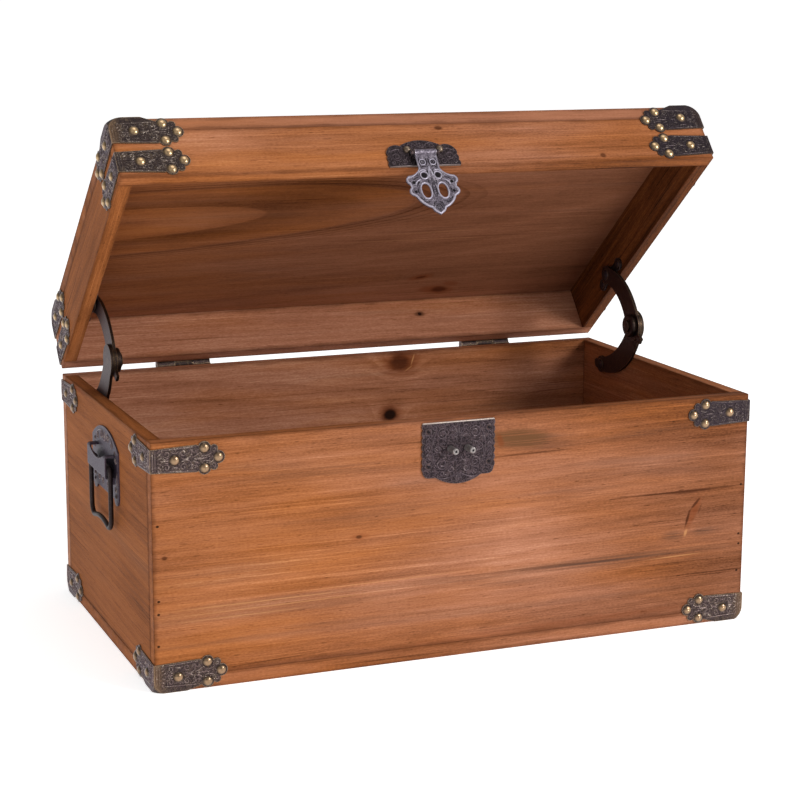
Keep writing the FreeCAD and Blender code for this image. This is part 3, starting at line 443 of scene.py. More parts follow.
BOARDS = {
    "front_upper_board": FRONT,
    "front_lower_board": FRONT,
    "back_panel": dict(
        # Painted light and shade on the inside of the back: tone 0.86 is painted light for the light that falls
        # inside, the right-end shade of -0.26 is painted shade from the right wall, and the glow paints a pool of
        # light within that shade
        grain=LONG, seed=3.0, pith=(60.0, 190.0), slope=0.06, spacing=8.0, contrast=0.08, tone=0.86,
        blush=(1.2, 0.6), painted_right_shade=-0.26, glows=[((157, 124), (42, 22), 0, 0.6)],
        knots=[((44.0, 149.0), (9.0, 7.6), 0), ((36.6, 109.9), (7.4, 6.4), 0), ((-120, 60), (5, 3.4), 0)],
        burls=[((45, 148.5), (16, 11), 0, 0.9), ((36.6, 109.9), (11, 8), 0, 0.7), ((-120, 60), (10, 6), 0, 0.6)],
        stains=[((130, 111), (60, 5), 0, 0.5)],
        lines=[((89.3, 116.7), (36.7, 0.6), -0.1, 0.4), ((161.9, 118.7), (36.0, 0.6), 3.3, 0.4),
               ((54.4, 150.2), (5.6, 0.8), 72, -0.7), ((51.0, 143.6), (5.0, 0.7), 35, -0.45)],
        holes=[((36.6, 109.9), 5.4), ((-120, 60), 1.6)],
        box=board_box("back", BOARD, BASE_HEIGHT)),
    "left_panel": dict(
        grain=CROSS, seed=4.0, pith=(250.0, -140.0), slope=0.05, spacing=6.0, tone=0.53, blush=(-0.7, -0.7),
        depth=0.8, burls=[((76, 153.6), (30, 1.5), 0, 0.85)], box=board_box("left", BOARD, BASE_HEIGHT)),
    "right_panel": dict(
        grain=CROSS, seed=5.0, pith=(230.0, 130.0), slope=-0.06, spacing=6.0,
        knots=[((30, 70), (4.5, 3.2), 0)], box=board_box("right", BOARD, BASE_HEIGHT)),
    "bottom_panel": dict(
        grain=FLAT, seed=6.0, pith=(20.0, -90.0), slope=0.05, spacing=7.0, blush=(0.2, 0.9),
        box=board_box("flat", 0, BOARD)),
    "lid_front_rail": dict(
        grain=LONG, on_lid=True, seed=7.0, pith=(260.0, -60.0), tone=0.61, blush=(0.3, 0.6),
        # The first glow is painted shade on the rail's lower edge, which faces down
        glows=[((150, 156.5), (120, 5), 0, -1.2), ((150, 178), (75, 22), 0, -0.5), ((-145, 186), (55, 16), 0, 0.6)],
        knots=[((10.5, 187.5), (3.4, 1.8), 0), ((122.4, 162.3), (2.6, 2.2), 0)],
        box=board_box("front", LID_FOOT, RAIL_TOP)),
    "lid_back_rail": dict(
        # Tone 0.73 is painted light: this rail is lighter than the others for the light on the inside of the lid's
        # back
        grain=LONG, on_lid=True, seed=8.0, pith=(290.0, 90.0), slope=-0.04, spacing=4.5, tone=0.73,
        blush=(1.1, 0.9), knots=[((66.8, 178.0), (4.6, 2.8), 0)], holes=[((66.8, 178.0), 1.8)],
        box=board_box("back", LID_FOOT, RAIL_TOP)),
    "lid_left_rail": dict(
        grain=CROSS, on_lid=True, seed=9.0, pith=(260.0, -170.0), slope=0.05, tone=0.52, blush=(-0.6, -0.6),
        box=board_box("left", LID_FOOT, RAIL_TOP)),
    "lid_right_rail": dict(
        # Tone 0.31 is painted shade: this rail is darker than the others for the shadow inside the lid's right end
        grain=CROSS, on_lid=True, seed=10.0, pith=(290.0, 170.0), slope=-0.05, tone=0.31, blush=(-0.5, -0.5),
        box=board_box("right", LID_FOOT, RAIL_TOP)),
    "lid_top_panel": dict(
        grain=FLAT, on_lid=True, seed=11.0, flame=((-190, -10), (107, 18), -4.6), spacing=-16.0, contrast=0.14,
        tone=0.52, depth=0.6, wander=10.0, blush=(0.1, 0.9), painted_right_shade=-0.04, skirt=0.1,
        glows=[((-45, -48), (65, 22), 0, -0.9)],
        knots=[((81.5, 93.5), (7.4, 4.6), 6), ((61, 75), (5.0, 1.6), -12)],
        burls=[((79, 93.5), (15, 6.5), 8, 0.7), ((61, 75), (11, 4), -12, 0.7), ((89, 86), (7, 3.4), 10, 0.5)],
        lines=[((44.5, 12.6), (41.9, 0.6), -0.9, 0.4), ((129.8, 10.6), (43.4, 0.6), -1.8, 0.4),
               ((2.0, 21.4), (49.1, 0.6), 0.8, 0.35), ((102.6, 22.2), (51.5, 0.6), 0.1, 0.35),
               ((60, 14.4), (60, 0.5), -1.0, -0.25), ((50, 23.6), (80, 0.5), 0.4, -0.25)],
        box=board_box("flat", RAIL_TOP, LID_TOP)),
}


def dress(name, material):
    """A CAD node keeps its shape and gets a material."""
    slots = nodes[name].data.materials
    slots.clear()
    slots.append(material)


for board_name, look in BOARDS.items():
    dress(board_name, pine(board_name + "_pine", **look))


# Metal

METAL_BUMP = 0.0003
BRASS_BUMP = 0.0004
EDGE_RADIUS = 0.0007
HOLLOW = 0.55
STROKE_SCALE, STROKE_COUNT = 0.26, 4.5
CAP_TURN = 8.0
CAP_LEVELS = (77.0, 84.0)
RIGHT_SHADE_ALONG, RIGHT_SHADE_UP = (110.0, 170.0), (60.0, 100.0)
RIM_FADE = (0.5, 1.5)


def aged_metal(name, dark, worn, on_lid=False, rough=0.42, wear=0.35, edge=0.0, grit=0.4, painted_end_reflection=None, strokes=None,
               corner_wear_and_highlight=None, painted_rim_highlight=None, right_bracket_shade=None, metallic=0.85):
    """Plated metal: dark in its hollows, with the plating rubbed off in patches and, with edge, along edges.

    It also takes a painted reflection on faces that look toward the chest's ends, for the violet reflection and
    shade on them; engraved lines of a colour and strength; a colour for the band where a cap turns the corner,
    partly rubbed plating and partly a painted highlight on the rounded corner; a painted highlight of a colour and
    height along the edges where the plates of the latch meet; and painted shade toward the right end, above the
    foot.
    """
    graph = Graph(name)
    point = graph.place(on_lid)
    x, y, z = graph.split(point)
    mottle = graph.noise(point, 4.0, 0.6, scale=0.3)
    grain = graph.noise(point, 3.0, 0.65, scale=1.5)
    amount = graph.times(graph.step(graph.add(graph.times(mottle, 0.4), graph.times(grain, 0.6)), 0.48, 0.7), wear)
    if edge:
        bevel = graph.node("ShaderNodeBevel", samples=4)
        bevel.inputs["Radius"].default_value = EDGE_RADIUS
        dot = graph.node("ShaderNodeVectorMath", operation="DOT_PRODUCT")
        graph.feed(dot.inputs[0], bevel.outputs[0])
        graph.feed(dot.inputs[1], graph.node("ShaderNodeNewGeometry").outputs["Normal"])
        rubbed = graph.times(graph.step(dot.outputs["Value"], 0.8, 0.99, edge, 0.0), graph.add(0.4, grain))
        amount = graph.math("MAXIMUM", amount, rubbed, clamp=True)
    deep = tuple(HOLLOW * c for c in dark[:3]) + (1.0,)
    colour = graph.mix(mottle, dark, deep)
    # Painted reflection: faces that look toward the chest's ends take a violet colour for the reflection and shade
    # on them
    if painted_end_reflection:
        normal = graph.node("ShaderNodeTexCoord").outputs["Normal"]
        facing_end = graph.size(graph.split(normal)[0])
        colour = graph.mix(graph.step(facing_end, 0.6, 0.9), colour, painted_end_reflection)
    height = graph.add(grain, mottle)
    if strokes:
        ink, strength = strokes
        field = graph.noise(point, 1.0, 0.5, 1.0, scale=STROKE_SCALE)
        phase = graph.math("FRACT", graph.times(field, STROKE_COUNT))
        lines = graph.fade(graph.size(graph.minus(phase, 0.5)), 0.12, 0.28)
        colour = graph.mix(graph.times(lines, strength), colour, ink)
        height = graph.add(height, graph.times(lines, 0.5))
    # A gold-brown band where the cap turns the corner: partly rubbed plating, partly a painted highlight on the
    # rounded corner
    if corner_wear_and_highlight:
        band = graph.times(graph.step(graph.size(x), HALF_WIDTH - CAP_TURN, HALF_WIDTH + 1.0),
                           graph.step(graph.size(y), HALF_DEPTH - 0.6, HALF_DEPTH + 0.2),
                           graph.step(graph.size(graph.minus(z, LID_TOP / 2)), *CAP_LEVELS),
                           graph.add(0.25, grain))
        colour = graph.mix(band, colour, corner_wear_and_highlight)
    # Painted shade: toward the right end, above the foot, the plates are darker and show less rubbed shine
    if right_bracket_shade:
        right_shade_mask = graph.times(graph.step(x, *RIGHT_SHADE_ALONG), graph.step(z, *RIGHT_SHADE_UP))
        colour = graph.mix(graph.times(right_shade_mask, 0.75), colour, right_bracket_shade)
        amount = graph.times(amount, graph.minus(1.0, graph.times(right_shade_mask, 0.55)))
    colour = graph.mix(amount, colour, worn)
    # Painted highlight: a bright line along the edges where the plates of the latch meet
    if painted_rim_highlight:
        shine, level = painted_rim_highlight
        near = graph.fade(graph.size(graph.minus(z, level)), *RIM_FADE)
        colour = graph.mix(graph.times(near, graph.add(0.4, grain)), colour, shine)
    return graph.finish(
        Base_Color=colour,
        Metallic=metallic,
        Roughness=graph.add(rough, graph.times(grain, 0.2), graph.times(amount, -0.12)),
        Specular_IOR_Level=0.5,
        Normal=graph.bump(height, METAL_BUMP, grit))


def brass_nails(name, on_lid, dark, painted_highlight):
    """Domed brass with a painted highlight on top, darker toward the rim: partly patina at the rim, partly painted
    shade.
    """
    graph = Graph(name)
    normal = graph.node("ShaderNodeTexCoord").outputs["Normal"]
    if on_lid:
        normal = graph.shut(normal)
    x, y = graph.split(normal)[:2]
    facing = graph.math("MAXIMUM", graph.size(x), graph.size(y))
    mottle = graph.noise(graph.place(on_lid), 3.0, 0.6, scale=0.6)
    highlight_and_rim_patina = graph.times(graph.step(facing, 0.62, 0.97), graph.add(0.5, mottle))
    return graph.finish(
        Base_Color=graph.mix(highlight_and_rim_patina, dark, painted_highlight),
        Metallic=0.95,
        Roughness=graph.add(0.22, graph.times(mottle, 0.14)),
        Coat_Weight=0.5,
        Coat_Roughness=0.2,
        Normal=graph.bump(mottle, BRASS_BUMP, 0.3))


ON_LID = {"base": False, "lid": True}
# The lid's dark colours are darker than the base's: painted shade for the darker reflections on the open lid's
# plates
BRONZE_DARK = {"base": linear(82, 67, 66), "lid": linear(66, 53, 51)}
BRONZE_WORN = linear(204, 174, 138)
BRONZE_END_REFLECTION = {"base": linear(102, 84, 93), "lid": linear(91, 76, 89)}
RAISED_DARK = {"base": linear(108, 90, 88), "lid": linear(78, 65, 62)}
# Whitish tops of the raised work: partly rubbed plating, partly painted glints
RAISED_WORN = linear(222, 203, 187)
CORNER_WEAR_AND_HIGHLIGHT = linear(120, 94, 71)
INK = linear(36, 29, 31)
RIGHT_BRACKET_SHADE = linear(46, 38, 46)
LATCH_DARK, LATCH_WORN = linear(45, 36, 40), linear(130, 108, 100)
RAISED_LATCH_DARK, RAISED_LATCH_WORN = linear(86, 73, 79), linear(170, 154, 154)
LATCH_STROKES = {"base": (linear(98, 82, 86), 0.55), "lid": (linear(80, 69, 73), 0.5)}
# Colours and heights of the painted highlight along the top of the strike plate and the foot of the hasp's plate
RIM_HIGHLIGHT = {"base": (linear(204, 190, 180), 154.8), "lid": (linear(176, 160, 150), 156.6)}
# The lid's nails get brighter colours than the base's: painted light for the light they catch as the open lid faces
# up
BRASS = {"base": (linear(46, 34, 26), linear(154, 124, 93)), "lid": (linear(66, 50, 37), linear(202, 168, 124))}

bronze, raised_bronze, latch_bronze, raised_latch, patina_and_hole_shade = {}, {}, {}, {}, {}
for body, lid in ON_LID.items():
    bronze[body] = aged_metal(
        "bronze_" + body, BRONZE_DARK[body], BRONZE_WORN, lid, wear=0.26, edge=0.7, painted_end_reflection=BRONZE_END_REFLECTION[body],
        strokes=(INK, 0.65), corner_wear_and_highlight=CORNER_WEAR_AND_HIGHLIGHT, right_bracket_shade=RIGHT_BRACKET_SHADE)
    raised_bronze[body] = aged_metal(
        "raised_bronze_" + body, RAISED_DARK[body], RAISED_WORN, lid, rough=0.3, wear=0.75,
        painted_end_reflection=BRONZE_END_REFLECTION[body], corner_wear_and_highlight=CORNER_WEAR_AND_HIGHLIGHT, right_bracket_shade=RIGHT_BRACKET_SHADE)
    latch_bronze[body] = aged_metal(
        "latch_bronze_" + body, LATCH_DARK, LATCH_WORN, lid, wear=0.2, edge=0.9, strokes=LATCH_STROKES[body],
        painted_rim_highlight=RIM_HIGHLIGHT[body])
    raised_latch[body] = aged_metal(
        "raised_latch_" + body, RAISED_LATCH_DARK, RAISED_LATCH_WORN, lid, rough=0.32, wear=0.6, painted_rim_highlight=RIM_HIGHLIGHT[body])
    # On the base this material colours only the dark marks, which are painted shade in holes; on the lid it is the
    # patina in the hasp's lines
    patina_and_hole_shade[body] = aged_metal(
        "patina_" + body, linear(34, 29, 32), linear(66, 56, 56), lid, rough=0.5, wear=0.3)
arm_bronze = aged_metal(
    "arm_bronze", linear(52, 40, 36), linear(140, 110, 78), rough=0.36, wear=0.3, edge=0.8,
    painted_end_reflection=linear(64, 50, 55))
steel = aged_metal(
    "latch_steel", linear(112, 102, 114), linear(194, 184, 196), True, rough=0.28, wear=0.9, edge=0.9, grit=0.2,
    strokes=(linear(52, 47, 56), 0.7), metallic=0.7)
# Near-white and only half metallic: the hasp's raised border is rubbed bright and carries a painted highlight
raised_steel = aged_metal(
    "raised_steel", linear(188, 180, 196), linear(236, 230, 242), True, rough=0.26, wear=0.8, grit=0.2,
    metallic=0.5)
# Near-white rubbed colour, strongest at the edges: partly worn steel, partly a painted highlight ringing the post
# tips
post_steel = aged_metal(
    "post_steel", linear(140, 131, 128), linear(246, 240, 238), rough=0.24, wear=0.6, edge=1.0, grit=0.2,
    metallic=0.5)
rivet_steel = aged_metal(
    "rivet_steel", linear(120, 102, 88), linear(214, 194, 164), True, rough=0.22, wear=0.6, grit=0.2)
handle_bronze = aged_metal(
    "handle_bronze", linear(82, 70, 87), linear(150, 134, 138), rough=0.38, wear=0.25, edge=0.6,
    strokes=(linear(60, 51, 66), 0.45))
wire = aged_metal("handle_wire", linear(52, 42, 42), linear(120, 102, 94), rough=0.36, wear=0.3)

bodies = frame["record"]["behaviour"]["bodies"]
for body, lid in ON_LID.items():
    for member in bodies[body]:
        if member not in BOARDS:
            dress(member, latch_bronze[body] if "plate" in member else bronze[body])
    dress(body + "_corner_nails", brass_nails("brass_" + body, lid, *BRASS[body]))
for side in SIDES:
    for piece in ("stay_lower_arm", "stay_upper_arm", "stay_knob"):
        dress(side + "_" + piece, arm_bronze)
    for piece in ("handle_plate", "handle_strap"):
        dress(side + "_" + piece, handle_bronze)
    dress(side + "_bail", wire)
for name in ("hasp", "hasp_pin"):
    dress(name, steel)
dress("hasp_rivets", rivet_steel)
dress("strike_posts", post_steel)


# Raised ornament

def opened(point):
    """A point of the shut lid as the lid stands open."""
    turn = math.radians(-LID_OPEN)
    y, z = point[1] - HINGE_Y, point[2] - HINGE_Z
    return (point[0], HINGE_Y + y * math.cos(turn) - z * math.sin(turn),
            HINGE_Z + y * math.sin(turn) + z * math.cos(turn))


def turned(center, radius, start, end, steps):
    """Points on a circle from one angle to another, in degrees."""
    angles = [math.radians(start + (end - start) * i / steps) for i in range(steps + 1)]
    return [(center[0] + radius * math.cos(a), center[1] + radius * math.sin(a)) for a in angles]


def mirrored(place, side):
    """A place on its own side of the middle line, or on the other for -1."""
    return (side * place[0], place[1])


class Ornament:
    """Raised work drawn on a flat face, each point as two places on the face and a height."""

    def __init__(self):
        self.points = []
        self.faces = []

    def ridge(self, path, half_width, height, closed=False):
        """A half-round rib along a path, pointed at its ends unless it is closed."""
        line = np.array(path, float)
        count = len(line)
        if closed:
            along = np.roll(line, -1, 0) - np.roll(line, 1, 0)
            swell = np.ones(count)
        else:
            along = np.gradient(line, axis=0)
            share = np.linspace(0, 1, count)
            swell = 0.25 + 0.75 * np.minimum(1, np.sin(math.pi * share) * 1.6)
        along /= np.linalg.norm(along, axis=1)[:, None]
        aside = np.stack([-along[:, 1], along[:, 0]], 1)
        first = len(self.points)
        for spread, rise in ((-1, -0.2), (-0.62, 0.75), (0, 1), (0.62, 0.75), (1, -0.2)):
            edge = line + aside * (swell * spread * half_width)[:, None]
            self.points += [(a, b, h) for (a, b), h in zip(edge, swell * rise * height)]
        for row in range(4):
            for i in range(count if closed else count - 1):
                j = (i + 1) % count
                low, high = first + row * count, first + (row + 1) * count
                self.faces.append((low + i, low + j, high + j, high + i))

    def draw(self, path, half_width, height, twins):
        """A rib and, for twins, its mirror image across the middle line."""
        self.ridge(path, half_width, height)
        if twins:
            self.ridge([mirrored(place, -1) for place in path], half_width, height)

    def spiral(self, center, radius, turns, start, half_width, height, twins=False):
        """A scroll that winds in from its outer end, which points at the start angle."""
        steps = int(11 * abs(turns)) + 3
        path = []
        for i in range(steps + 1):
            share = i / steps
            angle = math.radians(start + 360 * turns * share)
            reach = radius * (1 - 0.8 * share)
            path.append((center[0] + reach * math.cos(angle), center[1] + reach * math.sin(angle)))
        self.draw(path, half_width, height, twins)

    def leaf(self, foot, angle, length, half_width, height, twins=False):
        tip = (foot[0] + length * math.cos(math.radians(angle)), foot[1] + length * math.sin(math.radians(angle)))
        path = [tuple(foot[k] + (tip[k] - foot[k]) * i / 5 for k in (0, 1)) for i in range(6)]
        self.draw(path, half_width, height, twins)

    def bend(self, start, pull, end, half_width, height, twins=False):
        """A curved stem."""
        path = []
        for i in range(9):
            s = i / 8
            path.append(tuple((1 - s) ** 2 * start[k] + 2 * s * (1 - s) * pull[k] + s * s * end[k] for k in (0, 1)))
        self.draw(path, half_width, height, twins)

    def ring(self, center, radius, half_width, height):
        self.ridge(turned(center, radius, 0, 330, 11), half_width, height, closed=True)

    def dome(self, center, radius, height, base=0.0):
        first = len(self.points)
        self.points.append((center[0], center[1], base + height))
        for share, rise in ((0.6, 0.8), (1.0, 0.0)):
            self.points += [(a, b, base + rise * height) for a, b in turned(center, radius * share, 0, 330, 11)]
        for i in range(12):
            j = (i + 1) % 12
            self.faces.append((first, first + 1 + i, first + 1 + j))
            self.faces.append((first + 1 + i, first + 13 + i, first + 13 + j, first + 1 + j))


def curls(ornament, across, up, gap, taken, inside, seed, twins=True):
    """Small hooked leaves over a face, clear of the places that are taken."""
    random = np.random.default_rng(seed)
    for a in np.arange(across[0], across[1], gap):
        for b in np.arange(up[0], up[1], gap):
            x, y = a + random.uniform(-0.3, 0.3) * gap, b + random.uniform(-0.3, 0.3) * gap
            start, turns = random.uniform(0, 360), random.choice((-0.62, 0.62))
            if inside(x, y) and all(math.hypot(x - c[0], y - c[1]) > r for c, r in taken):
                ornament.spiral((x, y), 0.42 * gap, turns, start, 0.13 * gap, 0.36, twins=twins)


def lay(name, work, material, body):
    """One mesh from pairs of an ornament and the way from its face to the chest, in millimetres."""
    points, faces = [], []
    for ornament, way in work:
        first = len(points)
        origin = np.array(way(0, 0, 0))
        sides = [np.array(way(*step)) - origin for step in ((1, 0, 0), (0, 1, 0), (0, 0, 1))]
        flip = np.linalg.det(np.array(sides)) > 0
        points += [tuple(c / PER_METRE for c in way(*point)) for point in ornament.points]
        for face in ornament.faces:
            order = face[::-1] if flip else face
            faces.append([first + i for i in order])
    mesh = bpy.data.meshes.new(name)
    mesh.from_pydata(points, [], faces)
    mesh.polygons.foreach_set("use_smooth", [True] * len(faces))
    mesh.materials.append(material)
    made = bpy.data.objects.new(name, mesh)
    bpy.context.scene.collection.objects.link(made)
    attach(made, body)
    return made


CURL_GAP = 2.1

# Bracket legs: reach from the corner, height from the leg's middle

leg_work = Ornament()
for rib, width in ((0.9, 0.5), (2.4, 0.42)):
    leg_work.ridge([(rib, h) for h in np.linspace(-6.2, 6.2, 7)], width, 0.45)
for up in (-1, 1):
    leg_work.ridge([(a, up * (6.2 + 1.2 * a / 28)) for a in np.linspace(3.6, 28.0, 9)], 0.45, 0.4)
    for rise, angle in ((1.2, 20), (3.0, 40), (4.9, 60)):
        leg_work.leaf((3.8, up * rise), up * angle, 3.0, 0.6, 0.5)
    leg_work.spiral((9.4, up * 4.2), 2.1, up * 1.2, up * 200, 0.55, 0.5)
    leg_work.spiral((19.8, up * 4.4), 2.2, up * -1.2, up * 340, 0.55, 0.5)
    leg_work.leaf((8.0, up * 1.1), up * 12, 3.0, 0.6, 0.45)
    leg_work.bend((12.0, up * 5.2), (14.6, up * 3.6), (17.4, up * 5.4), 0.5, 0.45)
    leg_work.bend((18.4, up * 1.4), (21.6, up * -1.2), (24.2, up * 1.6), 0.55, 0.5)
    leg_work.bend((24.2, up * 1.6), (26.4, up * 5.6), (23.2, up * 6.2), 0.5, 0.45)
    leg_work.spiral((26.8, up * 5.0), 1.6, up * 1.0, up * 120, 0.5, 0.45)
    leg_work.leaf((25.6, up * 1.0), up * 28, 4.6, 0.65, 0.5)
    leg_work.bend((30.6, up * 2.0), (34.0, up * 0.8), (37.4, up * 2.8), 0.5, 0.45)
    leg_work.spiral((38.9, up * 5.1), 1.5, up * 1.0, up * 200, 0.42, 0.4)
    leg_work.leaf((27.6, up * 3.2), up * 60, 2.4, 0.5, 0.4)
leg_taken = [((14.5, 0), 3.6), ((33.0, 6.2), 3.4), ((33.0, -6.2), 3.4), ((41.7, 0), 3.4)]
for up in (-1, 1):
    leg_taken += [((9.4, up * 4.2), 2.4), ((19.8, up * 4.4), 2.5), ((26.8, up * 5.0), 1.9), ((38.9, up * 5.1), 2.0)]
curls(leg_work, (4.5, 40.0), (-5.2, 6.0), CURL_GAP, leg_taken, lambda a, b: abs(b) < 5.8, 3, twins=False)
leg_work.leaf((26.0, 0.0), 0, 8.6, 0.8, 0.55)
leg_work.leaf((10.8, 0.0), 180, 4.6, 0.7, 0.5)


# Tabs of the brackets on top of the lid: reach from the corner along the front and along the side

TAB_RADIUS = 20.0
TAB_SCROLL = (13.0, 4.2)
TAB_STEMS = [((10.0, 2.0), (11.0, 8.0), (15.2, 8.2)), ((16.6, 2.0), (17.6, 4.6), (16.0, 7.0))]
tab_work = Ornament()
tab_work.ridge(turned((0, 0), TAB_RADIUS - 1.3, 6, 84, 12), 0.45, 0.4)
tab_work.leaf((9.8, 9.8), 45, 5.0, 0.7, 0.45)
for turn in (1, -1):
    # The second half has its places the other way round, as a mirror image across the corner
    inner, outer = [[place[::turn] for place in stem] for stem in TAB_STEMS]
    tab_work.spiral(TAB_SCROLL[::turn], 2.5, turn * 1.4, 45 - turn * 45, 0.5, 0.42)
    tab_work.bend(*inner, 0.5, 0.42)
    tab_work.bend(*outer, 0.45, 0.4)


def tab_way(side, end):
    """The way from a tab's face to the open lid."""
    return lambda a, b, h: opened((side * (HALF_WIDTH - a), end * (HALF_DEPTH - b), LID_TOP + SHEET + h))


def bracket_ways(z, center, upside_down, on_lid):
    """The ways from a leg's face to the eight legs of four brackets."""
    def way(side, end, across):
        def go(a, b, h):
            height = z + (-1 if upside_down else 1) * (b + center)
            along, out = (a, -SHEET - h) if across else (-SHEET - h, a)
            point = (side * (HALF_WIDTH - along), end * (HALF_DEPTH - out), height)
            return opened(point) if on_lid else point
        return go
    return [way(SIDES[side], ENDS[end], across) for end, side in CORNERS for across in (True, False)]


# Strike plate and the plate that carries the hasp: places across and up from the posts or the lid's edge

PLATE_REACH = 23.8
STRIKE_NAILS = [(20.8, 11.7), (20.8, -10.3)]
STRIKE_SCROLLS = [((11.2, 9.8), 4.4, -1.8, 200), ((11.4, -9.2), 4.3, 1.8, 160), ((4.3, 12.9), 2.3, 1.5, 300),
                  ((5.2, -13.0), 2.4, -1.5, 60), ((14.4, 0.4), 2.7, 1.6, 180), ((16.2, 14.0), 1.7, 1.2, 250),
                  ((11.6, -15.6), 1.7, 1.2, 90)]
strike_work = Ornament()
strike_work.ridge([(a, 17.1) for a in np.linspace(-PLATE_REACH, PLATE_REACH, 15)], 0.5, 0.55)
for scroll in STRIKE_SCROLLS:
    strike_work.spiral(*scroll, 0.5, 0.45, twins=True)
strike_taken = [(place, radius + 0.5) for place, radius, *_ in STRIKE_SCROLLS]
strike_taken += [((POST_REACH, 0), 2.9)] + [(nail, 3.0) for nail in STRIKE_NAILS]
curls(strike_work, (1.2, 23.4), (-20.5, 16.4), CURL_GAP, strike_taken,
      lambda a, b: b > -17.0 if a > 14.5 else b > -21.4 + 0.02 * a * a, 5)
for stem in (((1.0, 3.4), (1.6, 10.0), (7.0, 8.6)), ((1.0, -3.4), (1.6, -9.5), (7.2, -8.0)),
             ((15.4, 11.4), (18.6, 6.0), (16.6, 2.2)), ((15.4, -10.8), (18.6, -6.0), (16.6, -1.6)),
             ((0.8, -15.4), (7.5, -20.5), (13.2, -18.4)), ((8.6, 3.4), (11.8, 4.6), (13.2, 2.4)),
             ((8.6, -3.2), (11.8, -4.2), (13.2, -1.6))):
    strike_work.bend(*stem, 0.48, 0.42, twins=True)
for leaf in (((2.4, 7.4), 150, 2.4), ((3.0, -7.0), 215, 2.4), ((9.0, 14.6), 40, 3.2),
             ((8.4, 5.6), 10, 2.6), ((8.6, -5.4), 350, 2.6), ((15.8, 7.4), 320, 2.4),
             ((15.9, -7.0), 40, 2.4), ((8.4, -16.0), 320, 2.8), ((0.6, 9.0), 66, 5.0),
             ((0.8, 8.6), 40, 3.6), ((0.6, -15.8), 290, 4.4), ((0.8, -15.4), 318, 4.0),
             ((0.4, 0.0), 60, 3.2), ((0.4, 0.0), 300, 3.2)):
    strike_work.leaf(*leaf, 0.5, 0.42, twins=True)
for rise in np.linspace(-6.6, 8.0, 7):
    strike_work.leaf((19.6, rise), 55, 2.6, 0.42, 0.36, twins=True)
    strike_work.leaf((22.6, rise), 125, 2.6, 0.42, 0.36, twins=True)
strike_work.leaf((0, 8.6), 90, 7.4, 0.6, 0.5)
strike_work.leaf((0, -15.6), 270, 5.6, 0.6, 0.5)
for side in (-1, 1):
    strike_work.ridge([(side * 18.2, h) for h in np.linspace(-9.5, 10.5, 9)], 0.3, 0.3)
    for nail in STRIKE_NAILS:
        strike_work.ring(mirrored(nail, side), 2.2, 0.34, 0.36)

CROWN_SCROLLS = [((18.2, 8.2), 3.4, 1.7, 180), ((8.0, 16.0), 2.3, -1.5, 340), ((21.6, 3.6), 1.6, 1.2, 90),
                 ((13.4, 4.4), 2.3, -1.4, 30)]
crown_work = Ornament()
crown_work.ridge([(a, 0.9) for a in np.linspace(-PLATE_REACH, PLATE_REACH, 15)], 0.42, 0.5)
for scroll in CROWN_SCROLLS:
    crown_work.spiral(*scroll, 0.38, 0.38, twins=True)
crown_taken = [((18.2, 8.2), 3.9), ((8.0, 16.0), 2.8), ((21.6, 3.6), 2.0), ((13.4, 4.4), 2.8), ((11.3, 13.2), 3.0)]
curls(crown_work, (1.2, 23.4), (2.4, 19.0), CURL_GAP, crown_taken,
      lambda a, b: b < 19.2 - 0.016 * a * a if a < 14 else b < 13.2, 8)
crown_work.bend((1.2, 13.6), (4.0, 19.0), (8.6, 18.6), 0.38, 0.36, twins=True)
crown_work.bend((14.6, 13.2), (18.0, 14.6), (22.2, 11.6), 0.38, 0.36, twins=True)
for angle, length in ((60, 4.0), (30, 3.6)):
    crown_work.leaf((0.4, 14.4), angle, length, 0.45, 0.38, twins=True)
crown_work.leaf((0, 14.4), 90, 4.8, 0.5, 0.42)


def on_front(height, on_lid):
    def go(a, b, h):
        point = (LATCH_X + a, -HALF_DEPTH - LATCH_SHEET - h, height + b)
        return opened(point) if on_lid else point
    return go


# Hasp: places across and down from its pin

def on_hasp(a, b, h):
    lean = math.radians(HASP_LEAN)
    y, z = -LATCH_SHEET / 2 - h, -b
    return opened((LATCH_X + a, HASP_Y + y * math.cos(lean) - z * math.sin(lean),
                   HASP_Z + y * math.sin(lean) + z * math.cos(lean)))


HASP_TIP = 45.4
HASP_RIVET, HASP_BOSS = (3.6, 7.6), (4.7, 17.4)
EYE, EYE_RADII = (5.8, 28.7), (3.6, 5.9)
half_border = [(6.5, 2.6), (6.5, 7.0), (6.6, 12.2), (8.4, 15.0), (11.2, 17.2), (13.6, 18.3)]
half_border += turned((14.3, 20.8), 2.6, -80, 62, 6) + turned((13.9, 28.9), 2.5, -68, 78, 6)
half_border += turned((0, 27.5), 13.8, 22, 64, 6) + [(4.2, 40.8), (3.4, 42.8), (1.6, 44.2), (0, HASP_TIP)]
hasp_border = Ornament()
hasp_border.ridge(half_border + [mirrored(place, -1) for place in half_border[-2::-1]], 0.62, 0.5)
for side in (-1, 1):
    eye = [(side * EYE[0] + EYE_RADII[0] * math.cos(a), EYE[1] + EYE_RADII[1] * math.sin(a))
           for a in np.linspace(0, 2 * math.pi, 24, endpoint=False)]
    hasp_border.ridge(eye, 0.5, 0.4, closed=True)
    hasp_border.ring(mirrored(HASP_BOSS, side), 2.7, 0.42, 0.36)
    hasp_border.ring(mirrored(HASP_RIVET, side), 2.1, 0.3, 0.3)
hasp_border.bend((0.7, 13.0), (1.4, 16.0), (1.0, 19.0), 0.4, 0.34, twins=True)
hasp_border.leaf((0, 14.4), 270, 3.8, 0.6, 0.4)
hasp_border.bend((2.2, 14.2), (6.6, 11.8), (8.4, 16.6), 0.4, 0.32, twins=True)
hasp_border.bend((7.6, 20.6), (10.6, 20.4), (12.2, 24.8), 0.4, 0.32, twins=True)

